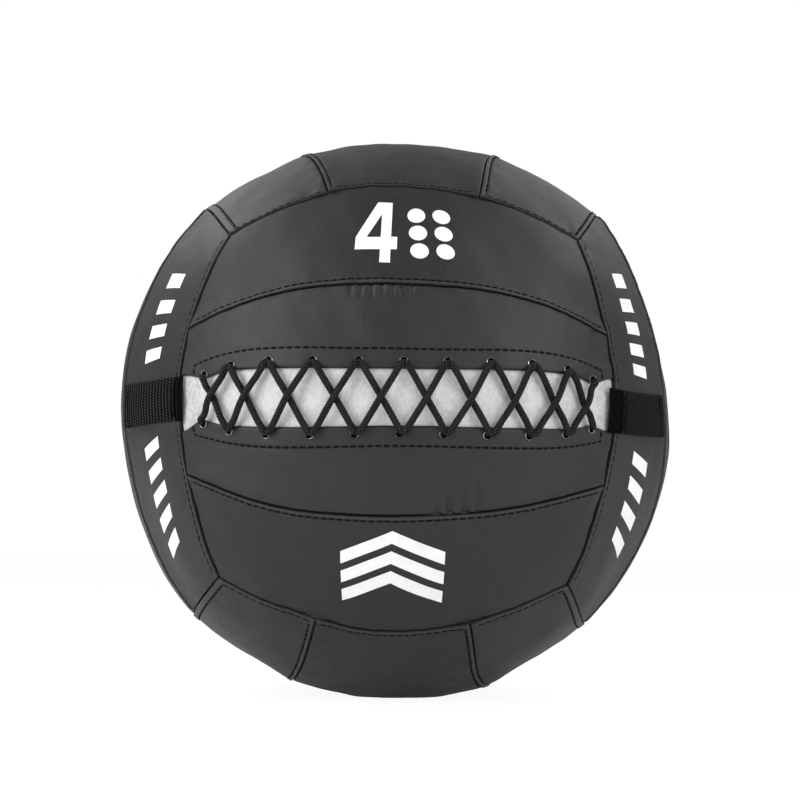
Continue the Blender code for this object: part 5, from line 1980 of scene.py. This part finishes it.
def make_filling(node, half):
    """Half of the fibre filling: lumpy outside, with a hollow for the pouch."""
    rows = [(0, FILLING_RADIUS)]
    for ring in range(1, FILLING_RINGS + 1):
        angle = ring / FILLING_RINGS * math.pi / 2
        rows.append((FILLING_RADIUS * math.sin(angle), FILLING_RADIUS * math.cos(angle) + FILLING_RISE))
    profile = pouch_profile(POUCH_ROOM, half > 0)
    room = [(r, z * half) for r, z in profile if z * half > POUCH_ROOM_START and r > 0]
    room.sort(key=lambda row: (row[1], -row[0]))
    brim = [between(room[0][0], FILLING_RADIUS, share) for share in reversed(NECK_SHARES[1:])]
    rows += [(radius, FILLING_FLAT) for radius in brim]
    rows += [*room, (0, room[-1][1] + (FILLING_FLAT if half > 0 else 0))]

    def shape(points):
        distance = np.linalg.norm(points, axis=1)
        upright = points * (1, 1, half)
        directions = unit(upright + LEAST)
        shell = smooth(distance, BALLAST_RADIUS + LUMP_START, FILLING_RADIUS - LUMP_END)
        depth = FILLING_DEPTH + FILLING_ROOM + LUMP * (1 + lump_waves(directions))
        grown = settle(directions) * (skin_radius(directions) - depth)[:, None]
        result = upright + (grown - upright) * shell[:, None]
        result[:, 2] = half * np.maximum(half * result[:, 2], FILLING_LEAST)
        return result

    points, faces = turned_solid(rows, FILLING_STEPS, shape)
    if half < 0:
        faces = [face[::-1] for face in faces]
    add_mesh(node + "_fibre", points, faces, RAGS, "filling", node=node, fill=0.85)


make_ballast()
make_filling("filling_upper", 1)
make_filling("filling_lower", -1)


# Room, lights and camera

AMBIENT = 0.4
SKY_TOP = 0.25
SKY_HEIGHTS = (0.35, 0.8)
FLOOR_TONE = 0.85
FLOOR_SEEN_TONE = 0.14
FLOOR_GLOW = 0.93
FLOOR_LIFT = 0.15
FLOOR_HALF_SIZE = 6
FLOOR_DROP = 0.2 * MM
SENSOR_WIDTH = 36

# Each light: place, size and power
LIGHTS = {
    "left_softbox": ((-1.35, -0.95, 0.85), (0.9, 1.5), 21),
    "right_softbox": ((1.25, -1.1, 0.85), (0.9, 1.5), 13.6),
    "left_rim": ((-0.8, 1.1, 1.25), (1.0, 0.7), 3.0),
    "right_rim": ((0.8, 1.1, 1.2), (1.0, 0.7), 2.0),
    "left_top": ((-0.96, 0.3, 1.29), (0.4, 0.5), 4.5),
    "right_top": ((0.99, 0.22, 1.29), (0.4, 0.5), 4),
    "front_fill": ((0, -2.4, 1.0), (1.8, 1.2), 3.3),
}


def make_world():
    """White round the horizon and dimmer overhead for the camera, and a plain level of light for the ball."""
    world = bpy.data.worlds.new("studio")
    world.use_nodes = True
    bpy.context.scene.world = world
    nodes = Nodes(world.node_tree)
    split = nodes.add("ShaderNodeSeparateXYZ")
    nodes.feed(nodes.add("ShaderNodeTexCoord").outputs["Generated"], split.inputs[0])
    strength = nodes.add("ShaderNodeMix")
    nodes.feed(nodes.camera_share(), strength.inputs[0])
    strength.inputs[2].default_value = AMBIENT
    nodes.feed(nodes.spread(split.outputs["Z"], 1.0, SKY_TOP, *SKY_HEIGHTS), strength.inputs[3])
    background = nodes.tree.nodes["Background"]
    background.inputs["Color"].default_value = (1, 1, 1, 1)
    nodes.feed(strength.outputs[0], background.inputs["Strength"])


def make_floor():
    """A pale floor that glows to white for the camera, so that only the ball's shadow shows on it."""
    edges = (-FLOOR_HALF_SIZE, FLOOR_HALF_SIZE)
    mesh = bpy.data.meshes.new("floor")
    mesh.from_pydata([(x, y, 0) for y in edges for x in edges], [], [(0, 1, 3, 2)])
    floor = bpy.data.objects.new("floor", mesh)
    bpy.context.scene.collection.objects.link(floor)
    floor.location.z = -FLOOR_DROP
    look = Look("pale_floor", (FLOOR_TONE, FLOOR_TONE, FLOOR_TONE), 0.9)
    look.shader.inputs["Specular IOR Level"].default_value = 0.0
    look.shader.inputs["Emission Color"].default_value = (1, 1, 1, 1)
    seen = look.camera_share()
    tones = [(tone, tone, tone, 1) for tone in (FLOOR_TONE, FLOOR_SEEN_TONE)]
    look.feed(look.mix(seen, *tones), look.shader.inputs["Base Color"])
    glow = look.math("MULTIPLY_ADD", seen, FLOOR_GLOW - FLOOR_LIFT, FLOOR_LIFT)
    look.feed(glow, look.shader.inputs["Emission Strength"])
    mesh.materials.append(look.material)


def add_light(name):
    """A soft rectangular light that faces the ball's centre."""
    place, size, power = LIGHTS[name]
    data = bpy.data.lights.new(name, "AREA")
    data.shape = "RECTANGLE"
    data.size, data.size_y = size
    data.energy = power
    light = bpy.data.objects.new(name, data)
    bpy.context.scene.collection.objects.link(light)
    light.location = place
    towards = Vector(CENTRE) - Vector(place)
    light.rotation_mode = "QUATERNION"
    light.rotation_quaternion = towards.to_track_quat("-Z", "Y")


def make_camera():
    """The camera that the marks were read for."""
    data = bpy.data.cameras.new("camera")
    data.sensor_width = SENSOR_WIDTH
    data.lens = FOCAL_PIXELS / PICTURE_PIXELS * SENSOR_WIDTH
    data.shift_x = 0.5 - BALL_MIDDLE_PIXELS[0] / PICTURE_PIXELS
    data.shift_y = BALL_MIDDLE_PIXELS[1] / PICTURE_PIXELS - 0.5
    camera = bpy.data.objects.new("camera", data)
    bpy.context.scene.collection.objects.link(camera)
    right, up, back = camera_axes()
    matrix = Matrix((right, up, back)).transposed().to_4x4()
    matrix.translation = Vector(CENTRE + back * CAMERA_DISTANCE)
    camera.matrix_world = matrix
    bpy.context.scene.camera = camera


make_world()
make_floor()
for name in LIGHTS:
    add_light(name)
make_camera()
bpy.context.scene.view_settings.view_transform = "Standard"
